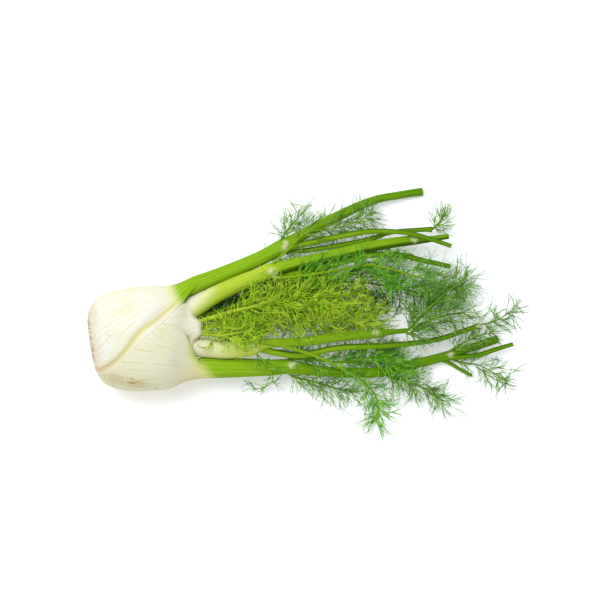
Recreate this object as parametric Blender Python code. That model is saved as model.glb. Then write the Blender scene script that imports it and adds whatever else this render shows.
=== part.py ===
"""Florence fennel: a bulb with its stalks and feathery fronds, as picked, lying on its side.

The frame is in metres. +X runs from the cut base to the stalk tips, +Z is up, and the origin is
the middle of the flat spot on the belly that the bulb rests on. Sizes below are in millimetres
and degrees, as they would be measured on the vegetable, and are turned into metres where a
shape is made.
"""

import math
import random

import bmesh
import bpy
import numpy as np
from mathutils import Vector

MM = 0.001
SEED = 40

# The bulb: swollen leaf bases wrapped round each other, flattened, and cut askew at the base.
# Each section is its centre's x and y, its half width, its half height and its turn.
BULB_SECTIONS = (
    (-46.4, -6.3, 24.6, 17.0, 9.5),
    (-44.6, -3.9, 30.6, 21.5, 7.5),
    (-39.5, -2.4, 37.6, 26.5, 5.0),
    (-30.0, -1.6, 42.8, 30.5, 3.0),
    (-12.6, -1.3, 46.4, 33.8, 1.0),
    (5.4, -0.4, 47.2, 34.2, 0.0),
    (23.4, 0.9, 46.6, 29.5, 0.0),
    (36.0, 4.6, 46.0, 22.5, 0.0),
    (52.0, 10.0, 47.0, 14.5, 0.0),
)
AXIS_HEIGHT = 32.6
SQUARENESS = 2.3

# Where the sheaths' free margins lie: x, then y on the upper face, then y on the underside.
UPPER_MARGIN = (
    (-47.0, -29.0, -26.0),
    (-30.0, -25.5, -24.0),
    (-12.0, -12.0, -22.0),
    (3.0, 2.0, -18.0),
    (15.0, 11.0, -6.0),
    (26.0, 19.5, 12.0),
    (36.0, 32.0, 29.0),
    (52.0, 43.0, 41.0),
)
LOWER_MARGIN = (
    (-47.0, -16.0, -14.0),
    (-12.0, 2.0, -8.0),
    (3.0, 10.0, -4.0),
    (10.0, 6.5, -6.0),
    (25.0, 0.0, -10.0),
    (36.0, -8.0, -14.0),
    (52.0, -15.5, -16.0),
)
SHEATH_THICKNESS = 3.2
MARGIN_THICKNESS = 1.0
MARGIN_TAPER = 12.0
FLANK_THICKNESS = 13.0
FLANK_FROM, FLANK_TO = 8.0, 36.0
LAYER_GAP = 1.2
LOWER_SET_IN = 2.2
GROOVE = 0.25
POINTS_ACROSS = 12

# The heart: the inner leaf bases, whose blunt upper rim shows between the outer stalks.
HEART_NECK = (11.6, 25.0, 14.0)
HEART_NECK_FROM, HEART_NECK_TO = 18.0, 42.0
HEART_GAP = 2.4
HEART_START, HEART_END = -37.0, 50.0
HEART_POINTS = 24
HEART_RIM = 2.5

# The root plate: the stub of the stem, trimmed flat, inside the ring of cut sheaths.
PLATE_HALF = (19.2, 11.6)
PLATE_DEPTH = 6.0
PLATE_PROUD = 1.0
PLATE_POINTS = 16

# Stalks: x, y, z of the middle and the width. The outer two grow out of their sheaths.
STALK_UPPER = (
    (8.0, 36.0, 33.0, 18.0),
    (32.0, 42.0, 33.0, 15.5),
    (50.4, 49.5, 32.0, 14.0),
    (72.9, 58.3, 29.5, 13.2),
    (95.4, 67.5, 27.5, 13.0),
    (110.0, 74.4, 26.0, 12.8),
    (123.3, 81.5, 24.5, 13.8),
    (140.4, 91.4, 22.0, 9.8),
    (167.4, 106.2, 18.0, 9.6),
    (204.7, 123.7, 11.5, 7.4),
    (232.2, 129.8, 6.8, 6.8),
    (251.6, 132.8, 3.7, 7.2),
)
STALK_LOWER = (
    (8.0, -30.0, 32.0, 22.0),
    (36.0, -27.6, 31.5, 20.0),
    (50.4, -26.2, 30.5, 19.4),
    (72.9, -26.5, 28.0, 18.0),
    (92.7, -26.6, 26.0, 16.4),
    (113.4, -26.6, 24.0, 14.4),
    (130.5, -26.0, 22.5, 13.2),
    (151.2, -29.2, 20.0, 9.4),
    (177.3, -31.2, 17.0, 9.0),
    (214.2, -31.0, 12.5, 8.8),
    (243.9, -24.0, 9.2, 8.6),
    (269.1, -17.8, 6.6, 8.2),
    (297.9, -8.6, 4.9, 7.4),
    (320.4, -1.4, 3.7, 7.0),
)
STALK_MIDDLE = (
    (50.6, 31.4, 35.0, 16.8),
    (66.6, 40.7, 35.5, 15.0),
    (87.3, 49.7, 35.0, 14.0),
    (103.5, 56.1, 34.0, 13.4),
    (113.4, 60.3, 33.5, 14.0),
    (140.4, 67.2, 31.5, 10.6),
    (177.3, 76.0, 28.5, 9.2),
    (204.3, 82.4, 26.5, 8.6),
    (232.2, 86.9, 24.8, 8.2),
    (243.0, 88.2, 24.2, 8.8),
    (257.4, 89.1, 23.2, 5.6),
    (274.5, 91.8, 22.0, 4.8),
)
STALK_INNER = (
    (50.6, -7.4, 34.5, 14.6),
    (72.9, -8.4, 35.5, 14.2),
    (90.9, -7.2, 36.0, 12.0),
    (99.0, -6.3, 36.0, 13.0),
    (112.0, -4.6, 35.5, 8.8),
    (142.2, -3.4, 33.5, 8.4),
    (177.3, 1.2, 31.0, 8.2),
    (204.3, 3.4, 29.5, 7.8),
    (209.4, 4.4, 29.0, 8.4),
    (224.1, 5.6, 28.0, 4.8),
    (236.7, 6.6, 27.0, 4.4),
)
STALK_FLATNESS = 0.9
STALK_RIB = 0.05
STALK_STEP = 14.0
SPLIT_UPPER, SPLIT_LOWER = 36.0, 44.0
BLEND_FROM, BLEND_UPPER, BLEND_LOWER = 24.0, 58.0, 60.0
SQUARE_TO, TURNED_FROM = 44.0, 68.0
NODE_GAP = 0.3

# Side stems: name of the stalk that each is fused to, then its route as above.
SIDE_STEMS = (
    ("stalk_upper", ((121.0, 79.5, 25.0, 4.8), (140.4, 83.6, 25.0, 4.7), (177.3, 91.5, 25.0, 4.4),
                     (204.3, 96.1, 25.5, 4.2), (232.2, 95.2, 28.5, 4.1), (250.2, 91.4, 31.5, 4.0),
                     (276.3, 82.8, 30.0, 3.9))),
    ("stalk_upper", ((121.0, 78.5, 22.0, 4.8), (145.0, 79.0, 18.5, 4.6), (173.7, 83.3, 17.5, 4.5),
                     (204.3, 89.6, 16.5, 4.4), (223.2, 95.6, 15.0, 4.3), (260.0, 98.1, 13.0, 4.8))),
    ("stalk_middle", ((112.0, 58.0, 32.0, 6.4), (140.4, 58.6, 28.5, 6.0), (177.3, 67.0, 25.5, 5.6),
                      (204.3, 74.0, 22.5, 5.2), (232.2, 73.6, 20.0, 4.8), (250.2, 70.4, 18.0, 4.6),
                      (276.3, 64.6, 15.0, 4.4))),
    ("stalk_inner", ((98.0, -8.0, 34.0, 6.4), (118.8, -13.0, 31.5, 6.0), (140.4, -15.3, 29.5, 5.8),
                     (168.3, -10.0, 27.5, 5.8), (186.3, -8.1, 25.5, 5.7), (214.2, -7.2, 22.5, 5.4),
                     (245.7, -4.5, 18.5, 5.0), (269.1, -0.4, 15.5, 4.7), (286.7, 5.4, 13.0, 4.5),
                     (303.3, 10.8, 10.5, 5.0))),
    ("stalk_lower", ((266.0, -18.6, 7.0, 5.6), (282.6, -17.9, 8.0, 4.8), (302.4, -15.8, 9.0, 4.6),
                     (317.7, -10.8, 10.0, 4.3), (333.9, -5.9, 10.5, 3.6))),
    ("stalk_lower", ((267.0, -19.0, 6.0, 4.6), (278.1, -24.0, 4.6, 3.4), (286.2, -29.0, 3.4, 3.2),
                     (297.0, -34.7, 2.4, 2.8))),
)
SIDE_STEM_SIDES = 8
SIDE_STEM_STEP = 26.0

# Fronds: name, colour, side stem's route (x, y, z, diameter), and where along it the pinnae
# start; then how many pinnae, their length, the length of their threads, and how far they spread
# up and down out of the frond's plane.
FRONDS = (
    ("frond_young_upper", "light", ((51.0, 15.0, 38.0, 4.6), (75.6, 22.5, 41.5, 4.4),
      (98.1, 28.4, 42.0, 4.4), (117.9, 33.7, 41.0, 3.0), (140.4, 36.0, 39.5, 2.6),
      (167.4, 36.9, 37.0, 2.2), (194.4, 39.6, 33.0, 1.6)), 0.30, 12, 23.0, 10.0, 40.0),
    ("frond_young_middle", "light", ((51.0, 9.0, 33.0, 5.6), (83.7, 17.0, 34.0, 5.4),
      (103.5, 21.5, 34.0, 5.0), (131.4, 20.6, 33.0, 3.0), (158.4, 17.0, 31.0, 2.6),
      (185.4, 14.6, 29.0, 2.2), (210.0, 18.0, 26.0, 1.6)), 0.30, 12, 22.0, 10.0, 40.0),
    ("frond_young_short", "light", ((51.0, 4.0, 40.5, 2.8), (70.2, 3.4, 43.5, 2.6),
      (86.4, 7.2, 44.5, 2.2), (101.0, 9.4, 44.0, 1.6)), 0.20, 6, 12.0, 8.0, 50.0),
    ("frond_young_under", "light", ((51.0, 20.0, 29.0, 3.2), (75.0, 27.0, 25.5, 3.0),
      (100.0, 36.0, 21.0, 2.6), (130.0, 43.0, 16.0, 2.2), (160.0, 46.0, 12.0, 1.6)),
     0.20, 10, 22.0, 10.0, 40.0),
    ("frond_middle_long", "dark", ((119.0, 53.0, 33.5, 3.0), (140.4, 52.0, 34.5, 2.8),
      (168.3, 57.0, 33.5, 2.6), (198.9, 62.8, 31.5, 2.4), (213.3, 62.0, 30.0, 2.2),
      (236.7, 58.0, 27.0, 2.0), (262.0, 50.0, 22.0, 1.8), (284.0, 42.0, 16.0, 1.4)),
     0.18, 15, 28.0, 11.0, 40.0),
    ("frond_middle_low", "dark", ((116.0, 50.5, 26.0, 2.6), (140.0, 47.0, 23.0, 2.4),
      (170.0, 50.0, 17.0, 2.2), (200.0, 50.0, 12.0, 2.0), (232.0, 44.0, 8.0, 1.8),
      (262.0, 36.0, 5.0, 1.4)), 0.20, 12, 26.0, 11.0, 30.0),
    ("frond_cross_over", "dark", ((118.0, 68.8, 37.4, 2.6), (131.0, 80.5, 36.0, 2.4),
      (146.0, 95.0, 30.5, 2.2), (167.4, 98.0, 25.0, 2.0), (190.0, 104.0, 22.0, 1.8),
      (206.0, 111.0, 22.0, 1.4)), 0.28, 9, 17.0, 9.0, 35.0),
    ("frond_upper_edge", "dark", ((124.0, 89.6, 27.5, 2.4), (128.0, 96.0, 26.0, 2.2),
      (136.0, 106.0, 21.0, 2.0), (147.0, 118.0, 15.0, 1.6)), 0.10, 7, 20.0, 10.0, 30.0),
    ("frond_upper_tip", "dark", ((262.0, 99.6, 13.5, 2.6), (268.0, 106.0, 13.0, 2.2),
      (272.0, 114.0, 12.0, 1.6)), 0.05, 6, 20.0, 10.0, 40.0),
    ("frond_right_upper", "dark", ((239.0, 8.0, 27.0, 2.8), (250.0, 20.0, 28.0, 2.6),
      (262.0, 32.0, 28.0, 2.4), (276.0, 44.0, 25.0, 2.2), (290.0, 50.0, 21.0, 1.6)),
     0.15, 12, 24.0, 11.0, 40.0),
    ("frond_right_lower", "dark", ((239.5, 4.0, 26.5, 2.8), (253.0, 14.0, 22.0, 2.6),
      (271.0, 20.0, 17.0, 2.4), (290.0, 23.0, 13.0, 1.8)), 0.15, 10, 22.0, 10.0, 35.0),
    ("frond_tip_upper", "dark", ((306.0, 12.4, 10.5, 2.4), (316.0, 14.0, 9.0, 2.0),
      (325.0, 19.0, 7.0, 1.6), (336.0, 26.0, 5.0, 1.3)), 0.05, 7, 15.0, 9.0, 20.0),
    ("frond_tip_middle", "dark", ((283.0, -8.0, 13.5, 2.2), (296.0, -1.0, 14.0, 2.0),
      (310.0, 4.0, 11.0, 1.6)), 0.10, 6, 13.0, 8.0, 25.0),
    ("frond_tip_lower", "dark", ((287.0, -22.5, 6.0, 2.2), (303.0, -25.0, 5.0, 2.0),
      (318.0, -33.0, 3.6, 1.6), (330.0, -42.0, 2.6, 1.3)), 0.05, 7, 18.0, 11.0, 15.0),
    ("frond_low_right", "dark", ((224.0, -36.5, 11.5, 2.4), (240.0, -40.0, 11.0, 2.4),
      (256.0, -48.0, 9.0, 2.2), (272.0, -58.0, 6.0, 1.6)), 0.08, 12, 20.0, 10.0, 40.0),
    ("frond_low_long", "dark", ((106.2, 1.2, 42.5, 3.0), (126.9, -5.4, 42.0, 3.0),
      (153.0, -15.5, 38.0, 2.8), (180.0, -28.4, 26.5, 2.6), (195.3, -38.0, 19.0, 2.4),
      (207.9, -50.6, 10.0, 2.2), (212.4, -64.8, 4.5, 2.0), (209.7, -77.4, 3.0, 1.4)),
     0.42, 12, 20.0, 10.0, 35.0),
    ("frond_low_left", "dark", ((133.0, -34.5, 18.0, 2.6), (145.0, -38.0, 14.0, 2.4),
      (162.9, -43.0, 9.0, 2.2), (177.3, -47.5, 5.5, 2.0), (190.0, -50.0, 4.0, 1.4)),
     0.12, 10, 20.0, 10.0, 30.0),
    ("frond_low_small", "light", ((101.0, -14.5, 34.0, 2.4), (111.6, -21.6, 34.5, 2.2),
      (121.6, -34.8, 30.0, 2.0), (118.0, -44.2, 13.0, 1.6), (106.0, -49.5, 5.0, 1.3)),
     0.25, 7, 13.0, 8.0, 25.0),
    ("frond_low_thin", "dark", ((135.0, -18.0, 24.5, 2.4), (177.3, -22.0, 24.0, 2.2),
      (206.6, -17.4, 18.5, 2.0), (222.0, -18.5, 18.0, 1.8), (238.0, -34.0, 17.0, 1.4)),
     0.50, 6, 14.0, 9.0, 30.0),
)
RACHIS_SIDES = 5
RACHIS_STEP = 12.0
PINNA_ANGLE = 52.0
PINNA_RADIUS = 0.90
THREAD_ANGLE = 42.0
THREAD_SPACING = 13.0
THREAD_RADIUS, THREAD_LEAST = 0.44, 0.32
SUNK = 0.8
THREAD_SIDES = 3
WIGGLE = 16.0
TRIES = 9
CLEAR_IN_FROND = 0.25
CLEAR_OF_OTHERS = 0.5
NECK_KEPT_CLEAR = 62.0
FLOOR_KEPT_CLEAR = 0.5

# Colour, roughness of each finish.
FINISHES = {
    "pale_sheath": ((0.80, 0.82, 0.62), 0.42),
    "pale_heart": ((0.84, 0.85, 0.70), 0.42),
    "cut_root": ((0.62, 0.50, 0.30), 0.75),
    "green_stalk": ((0.30, 0.52, 0.06), 0.40),
    "light": ((0.30, 0.56, 0.04), 0.50),
    "dark": ((0.10, 0.30, 0.04), 0.50),
}


def clear_scene():
    for thing in list(bpy.data.objects):
        bpy.data.objects.remove(thing, do_unlink=True)


def finish(name):
    """The Principled material of that name, made once."""
    known = bpy.data.materials.get(name)
    if known:
        return known
    colour, roughness = FINISHES[name]
    made = bpy.data.materials.new(name)
    made.use_nodes = True
    made.diffuse_color = (*colour, 1.0)
    shader = made.node_tree.nodes["Principled BSDF"]
    shader.inputs["Base Color"].default_value = (*colour, 1.0)
    shader.inputs["Roughness"].default_value = roughness
    return made


def smooth(t):
    t = min(1.0, max(0.0, t))
    return t * t * (3.0 - 2.0 * t)


def through(rows, place):
    """A smooth curve through the rows, read at place, which counts rows from 0."""
    last = len(rows) - 1
    place = min(float(last), max(0.0, place))
    i = min(int(place), last - 1)
    t = place - i
    p1, p2 = np.array(rows[i]), np.array(rows[i + 1])
    p0 = np.array(rows[i - 1]) if i > 0 else 2 * p1 - p2
    p3 = np.array(rows[i + 2]) if i + 2 <= last else 2 * p2 - p1
    return 0.5 * (
        2 * p1 + (p2 - p0) * t + (2 * p0 - 5 * p1 + 4 * p2 - p3) * t**2
        + (3 * p1 - p0 - 3 * p2 + p3) * t**3
    )


def at_x(rows, x):
    """The rows read at x, where they run along +X."""
    for i in range(len(rows) - 1):
        if x <= rows[i + 1][0] or i == len(rows) - 2:
            low, high = float(i), float(i + 1)
            break
    for _ in range(24):
        middle = (low + high) / 2
        if through(rows, middle)[0] < x:
            low = middle
        else:
            high = middle
    return through(rows, (low + high) / 2)


def straight(rows, x, column):
    """One column of the rows at x, by straight lines between them."""
    return float(np.interp(x, [row[0] for row in rows], [row[column] for row in rows]))


def bulb_point(x, angle, depth, groove=0.0):
    """A point of the bulb's surface, or depth below it, at the angle from +Y towards +Z.

    A groove is that much deeper, but not where the belly is pressed flat."""
    _, y, half_width, half_height, turn = at_x(BULB_SECTIONS, x)
    power = 2.0 / SQUARENESS
    across = math.copysign(abs(math.cos(angle)) ** power, math.cos(angle))
    up = math.copysign(abs(math.sin(angle)) ** power, math.sin(angle))
    side = (half_width - depth - groove) * across
    turn = math.radians(turn)
    z = AXIS_HEIGHT + (half_height - depth - groove) * up
    # The belly is pressed flat where the bulb lies on it, each layer a little above the last.
    return Vector((x - side * math.sin(turn), y + side * math.cos(turn), max(z, depth)))


def angle_at_y(x, y):
    """The angle, from 0 to pi, at which the bulb's section at x reaches that y."""
    _, middle, half_width, _, _ = at_x(BULB_SECTIONS, x)
    share = min(0.999, max(-0.999, (y - middle) / half_width))
    return math.acos(math.copysign(abs(share) ** (SQUARENESS / 2.0), share))


def upper_span(x):
    """The angles of the upper sheath's margins, on the upper face and on the underside."""
    front = angle_at_y(x, straight(UPPER_MARGIN, x, 1))
    return front, -angle_at_y(x, straight(UPPER_MARGIN, x, 2))


def lower_span(x):
    """The same for the lower sheath, which runs the other way round, past pi."""
    front = angle_at_y(x, straight(LOWER_MARGIN, x, 1))
    return front, 2 * math.pi - angle_at_y(x, straight(LOWER_MARGIN, x, 2))


def thickness(x, angle, span, full):
    """A sheath's thickness: thin at its margins, full over its back."""
    half = abs(span[1] - span[0]) / 2
    middle = (span[0] + span[1]) / 2
    off = abs((angle - middle + math.pi) % (2 * math.pi) - math.pi)
    mean_radius = (at_x(BULB_SECTIONS, x)[2] + at_x(BULB_SECTIONS, x)[3]) / 2
    inside = (half - off) * mean_radius / MARGIN_TAPER
    return MARGIN_THICKNESS + (full - MARGIN_THICKNESS) * smooth(inside)


def full_thickness(x):
    """A sheath thickens on the flank near the neck, where it gathers into its stalk."""
    gather = smooth((x - FLANK_FROM) / (FLANK_TO - FLANK_FROM))
    return SHEATH_THICKNESS + (FLANK_THICKNESS - SHEATH_THICKNESS) * gather


def upper_depths(x, angle):
    return 0.0, thickness(x, angle, upper_span(x), full_thickness(x))


def lower_depths(x, angle):
    top = thickness(x, angle, upper_span(x), SHEATH_THICKNESS) + LAYER_GAP
    return top, top + thickness(x, angle, lower_span(x), full_thickness(x))


def heart_depth(x, angle):
    upper = thickness(x, angle, upper_span(x), full_thickness(x))
    lower = thickness(x, angle, lower_span(x), full_thickness(x))
    return upper + lower + LAYER_GAP + HEART_GAP


def oval_ring(rows, x, count, outward, ribs):
    """A stalk's cross-section where its route is at x. It starts at the top and turns outward."""
    here = at_x(rows, x)
    inside = min(rows[-1][0] - 1.0, max(rows[0][0] + 1.0, x))
    ahead, behind = at_x(rows, inside + 1.0), at_x(rows, inside - 1.0)
    along = Vector(ahead[:3] - behind[:3]).normalized()
    # Near the bulb the section lies square to the bulb, further out square to the stalk.
    facing = Vector((1, 0, 0)).lerp(along, smooth((x - SQUARE_TO) / (TURNED_FROM - SQUARE_TO)))
    widening = 1.0 / facing.normalized().dot(along)
    along = facing.normalized()
    side = Vector((0, 0, 1)).cross(along).normalized() * outward * widening
    up = Vector((0, 0, 1)) - along * along.z
    up.normalize()
    ring = []
    for k in range(count):
        angle = math.pi / 2 - (k + 0.5) * 2 * math.pi / count
        radius = here[3] / 2 * (1.0 + ribs * (1 if k % 2 else -1))
        ring.append(
            Vector(here[:3]) + side * radius * math.cos(angle)
            + up * radius * STALK_FLATNESS * math.sin(angle)
        )
    return ring


def leaf_ring(x, span, depths, rows, outward, blend_to):
    """A leaf's section: a crescent round the bulb that gathers into the stalk's oval."""
    share = smooth((x - BLEND_FROM) / (blend_to - BLEND_FROM))
    count = POINTS_ACROSS * 2
    oval = oval_ring(rows, x, count, outward, STALK_RIB)
    if share >= 1.0:
        return oval
    crescent = []
    for k in range(count):
        inner = k >= POINTS_ACROSS
        j = count - 1 - k if inner else k
        angle = span[0] + (span[1] - span[0]) * j / (POINTS_ACROSS - 1)
        outer_depth, inner_depth = depths(x, angle)
        if inner:
            crescent.append(bulb_point(x, angle, inner_depth))
        else:
            crescent.append(bulb_point(x, angle, outer_depth, GROOVE if j % 2 else 0.0))
    return [a.lerp(b, share) for a, b in zip(crescent, oval)]


def loft(name, rings, material, pointed=False):
    """One closed body through the rings, made by extruding the first ring's face through them.

    A pointed one has its last ring drawn together to a tip."""
    shape = bmesh.new()
    corners = [shape.verts.new(Vector(point) * MM) for point in rings[0]]
    face = shape.faces.new(corners)
    for ring in rings[1:]:
        face = bmesh.ops.extrude_discrete_faces(shape, faces=[face])["faces"][0]
        for corner, point in zip(face.verts, ring):
            corner.co = Vector(point) * MM
    if pointed:
        tip = sum((Vector(point) for point in rings[-1]), Vector()) / len(rings[-1])
        bmesh.ops.pointmerge(shape, verts=list(face.verts), merge_co=tip * MM)
    shape.faces.new(reversed(corners))
    bmesh.ops.triangulate(shape, faces=[f for f in shape.faces if len(f.verts) > 4])
    bmesh.ops.recalc_face_normals(shape, faces=shape.faces)
    mesh = bpy.data.meshes.new(name)
    shape.to_mesh(mesh)
    shape.free()
    mesh.shade_smooth()
    mesh.materials.append(finish(material))
    made = bpy.data.objects.new(name, mesh)
    bpy.context.scene.collection.objects.link(made)
    return made


def fuse(base, pieces):
    """Joins the pieces into the base by one Boolean union, and removes them."""
    if not pieces:
        return base
    group = bpy.data.collections.new(base.name + "_pieces")
    bpy.context.scene.collection.children.link(group)
    for piece in pieces:
        bpy.context.scene.collection.objects.unlink(piece)
        group.objects.link(piece)
    join = base.modifiers.new("join", "BOOLEAN")
    join.operation = "UNION"
    join.solver = "MANIFOLD"
    join.operand_type = "COLLECTION"
    join.collection = group
    graph = bpy.context.evaluated_depsgraph_get()
    graph.update()
    joined = bpy.data.meshes.new_from_object(base.evaluated_get(graph))
    base.modifiers.clear()
    base.data = joined
    keep_outer_skin(joined)
    for piece in pieces:
        bpy.data.objects.remove(piece, do_unlink=True)
    bpy.data.collections.remove(group)
    return base


def keep_outer_skin(mesh):
    """Keeps the largest closed skin: hollows sealed between threads are filled."""
    shape = bmesh.new()
    shape.from_mesh(mesh)
    left, skins = set(shape.faces), []
    while left:
        skin, front = [], [left.pop()]
        while front:
            face = front.pop()
            skin.append(face)
            for edge in face.edges:
                for other in edge.link_faces:
                    if other in left:
                        left.remove(other)
                        front.append(other)
        skins.append(skin)
    skins.sort(key=len)
    spare = [face for skin in skins[:-1] for face in skin]
    bmesh.ops.delete(shape, geom=spare, context="FACES")
    shape.to_mesh(mesh)
    shape.free()


def steps(start, end, step):
    count = max(2, round((end - start) / step) + 1)
    return np.linspace(start, end, count)


def build_root_plate():
    """The trimmed stub, set into the base square to the askew cut."""
    x, y, _, _, turn = BULB_SECTIONS[0]
    turn = math.radians(turn)
    rings = []
    outline = ((-PLATE_PROUD, 0.80), (-PLATE_PROUD + 0.4, 0.95), (1.0, 1.0), (PLATE_DEPTH, 0.86))
    for depth, share in outline:
        ring = []
        for k in range(PLATE_POINTS):
            angle = 2 * math.pi * k / PLATE_POINTS
            side = PLATE_HALF[0] * share * math.cos(angle)
            z = AXIS_HEIGHT + PLATE_HALF[1] * share * math.sin(angle)
            ring.append((
                x + depth * math.cos(turn) - side * math.sin(turn),
                y + depth * math.sin(turn) + side * math.cos(turn),
                z,
            ))
        rings.append(ring)
    return loft("root_plate", rings, "cut_root")


def build_heart():
    neck_y, neck_width, neck_height = HEART_NECK
    rings = []
    stations = [*steps(HEART_START, HEART_END - HEART_RIM, 8.0), HEART_END]
    for x in stations:
        share = smooth((x - HEART_NECK_FROM) / (HEART_NECK_TO - HEART_NECK_FROM))
        inset = HEART_RIM if x == HEART_END else 0.0
        ring = []
        for k in range(HEART_POINTS):
            angle = 2 * math.pi * k / HEART_POINTS
            shell = bulb_point(x, angle, heart_depth(x, angle) + inset)
            neck = Vector((
                x,
                neck_y + (neck_width - inset) * math.cos(angle),
                AXIS_HEIGHT + 1.0 + (neck_height - inset) * math.sin(angle),
            ))
            ring.append(shell.lerp(neck, share))
        rings.append(ring)
    return loft("heart", rings, "pale_heart")


def build_outer_leaf(word, set_in, span, depths, rows, outward, split, blend_to):
    """An outer leaf: its pale sheath round the bulb, then its green stalk from the split on."""
    start = BULB_SECTIONS[0][0] + set_in

    def ring(x):
        spanned = span(min(x, BULB_SECTIONS[-1][0]))
        return leaf_ring(x, spanned, depths, rows, outward, blend_to)

    sheath = [start, start + 1.8, start + 4.0, start + 8.0, *steps(start + 16.0, split, 9.0)]
    loft("sheath_" + word, [ring(x) for x in sheath], "pale_sheath")
    end = rows[-1][0]
    stalk = [*steps(split + NODE_GAP, blend_to, 7.0), *stalk_stations(rows, blend_to, end)]
    return loft("stalk_" + word, [ring(x) for x in stalk], "green_stalk")


def stalk_stations(rows, start, end):
    """Stations at each row of the route past the start, and between rows that lie far apart."""
    kept, last = [], start
    for x in [row[0] for row in rows if row[0] > start + 3.0]:
        parts = max(1, round((x - last) / STALK_STEP / 1.6))
        kept += [last + (x - last) * (k + 1) / parts for k in range(parts)]
        last = x
    return [x for x in kept if x <= end]


def build_inner_stalk(name, rows):
    start, end = rows[0][0], rows[-1][0]
    stations = [start, *stalk_stations(rows, start, end)]
    rings = [oval_ring(rows, x, 16, 1, STALK_RIB) for x in stations]
    return loft(name, rings, "green_stalk")


def tube(name, points, radii, sides, material, pointed=False):
    """A tapering tube along the points, with its ends closed."""
    rings = []
    for i, point in enumerate(points):
        before, after = points[max(0, i - 1)], points[min(len(points) - 1, i + 1)]
        along = (after - before).normalized()
        side = along.cross(Vector((0.0, 0.12, 1.0))).normalized()
        up = side.cross(along)
        rings.append([
            point + (side * math.cos(a) + up * math.sin(a)) * radii[i]
            for a in (2 * math.pi * k / sides for k in range(sides))
        ])
    return loft(name, rings, material, pointed)


def route_points(rows, step):
    """Points and radii along a route of x, y, z and diameter, about a step apart."""
    fine = [through(rows, i / 8) for i in range(8 * (len(rows) - 1) + 1)]
    lengths = [0.0]
    for a, b in zip(fine, fine[1:]):
        lengths.append(lengths[-1] + float(np.linalg.norm(b[:3] - a[:3])))
    count = max(3, round(lengths[-1] / step) + 1)
    points, radii = [], []
    for wanted in np.linspace(0, lengths[-1], count):
        row = [float(np.interp(wanted, lengths, [f[c] for f in fine])) for c in range(4)]
        points.append(Vector(row[:3]))
        radii.append(row[3] / 2)
    return points, radii


class Room:
    """The room that stems and threads already take, as round rods with a name each."""

    def __init__(self):
        self.starts, self.ends = np.empty((0, 3)), np.empty((0, 3))
        self.radii, self.names = np.empty(0), np.empty(0, int)
        self.known = []

    def take(self, name, points, radii):
        if name not in self.known:
            self.known.append(name)
        starts = np.array([p[:] for p in points[:-1]])
        ends = np.array([p[:] for p in points[1:]])
        self.starts = np.vstack([self.starts, starts])
        self.ends = np.vstack([self.ends, ends])
        self.radii = np.append(self.radii, np.maximum(radii[:-1], radii[1:]))
        self.names = np.append(self.names, np.full(len(starts), self.known.index(name)))

    def clear(self, name, start, end, radius, skip_near=None):
        """Whether a rod from start to end stands clear of all the others.

        Rods of its own name that end within a little of skip_near, its root, are left out."""
        if not len(self.radii):
            return True
        gap = rod_distances(np.array(start), np.array(end), self.starts, self.ends)
        gap -= self.radii + radius
        own = self.names == (self.known.index(name) if name in self.known else -1)
        if skip_near is not None:
            root = np.array(skip_near)
            near = rod_distances(root, root + 1e-6, self.starts, self.ends) < self.radii + 1.2
            gap = np.where(own & near, np.inf, gap)
        needed = np.where(own, CLEAR_IN_FROND, CLEAR_OF_OTHERS)
        return bool((gap > needed).all())


def rod_distances(p, q, starts, ends):
    """The distance from the segment p-q to each of the segments."""
    d1, d2, r = q - p, ends - starts, p - starts
    a, e = d1 @ d1 + 1e-12, np.einsum("ij,ij->i", d2, d2) + 1e-12
    b, c, f = d2 @ d1, r @ d1, np.einsum("ij,ij->i", d2, r)
    s = np.clip((b * f - c * e) / np.maximum(a * e - b * b, 1e-12), 0, 1)
    t = np.clip((b * s + f) / e, 0, 1)
    s = np.clip((b * t - c) / a, 0, 1)
    between = p + s[:, None] * d1 - (starts + t[:, None] * d2)
    return np.sqrt(np.einsum("ij,ij->i", between, between))


def turned(along, towards, angle):
    """The direction that leaves along by the angle, towards the other direction."""
    side = (towards - along * towards.dot(along)).normalized()
    return along * math.cos(angle) + side * math.sin(angle)


def allowed(room, name, points, radii, root):
    """Whether a thread of those points is above the surface, off the neck and off the others."""
    for point, radius in zip(points[1:], radii[1:]):
        if point.z - radius < FLOOR_KEPT_CLEAR or point.x < NECK_KEPT_CLEAR:
            return False
    return all(
        room.clear(name, a, b, max(ra, rb), root if i == 0 else points[0])
        for i, (a, b, ra, rb) in enumerate(zip(points, points[1:], radii, radii[1:]))
    )


def grow(room, name, draw, root, along, towards, angle, length, radius, bends):
    """The points of one thread from its root, or None where there is no room for it."""
    for attempt in range(TRIES):
        size = length * (1.0 - 0.07 * attempt)
        lean = math.radians(angle + draw.uniform(-1, 1) * (WIGGLE + 2 * attempt))
        sway = Vector(draw.gauss(0, 0.25 + 0.06 * attempt) for _ in range(3))
        way = (turned(along, towards, lean) + sway).normalized()
        bend = Vector(draw.gauss(0, 0.22) for _ in range(3))
        points = [root]
        for k in range(bends + 1):
            points.append(points[-1] + way * size / (bends + 1))
            way = (way + bend).normalized()
        widths = [radius * (1.0 - 0.15 * k) for k in range(bends + 2)]
        if allowed(room, name, points, widths, root):
            return points, widths
    return None


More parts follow.
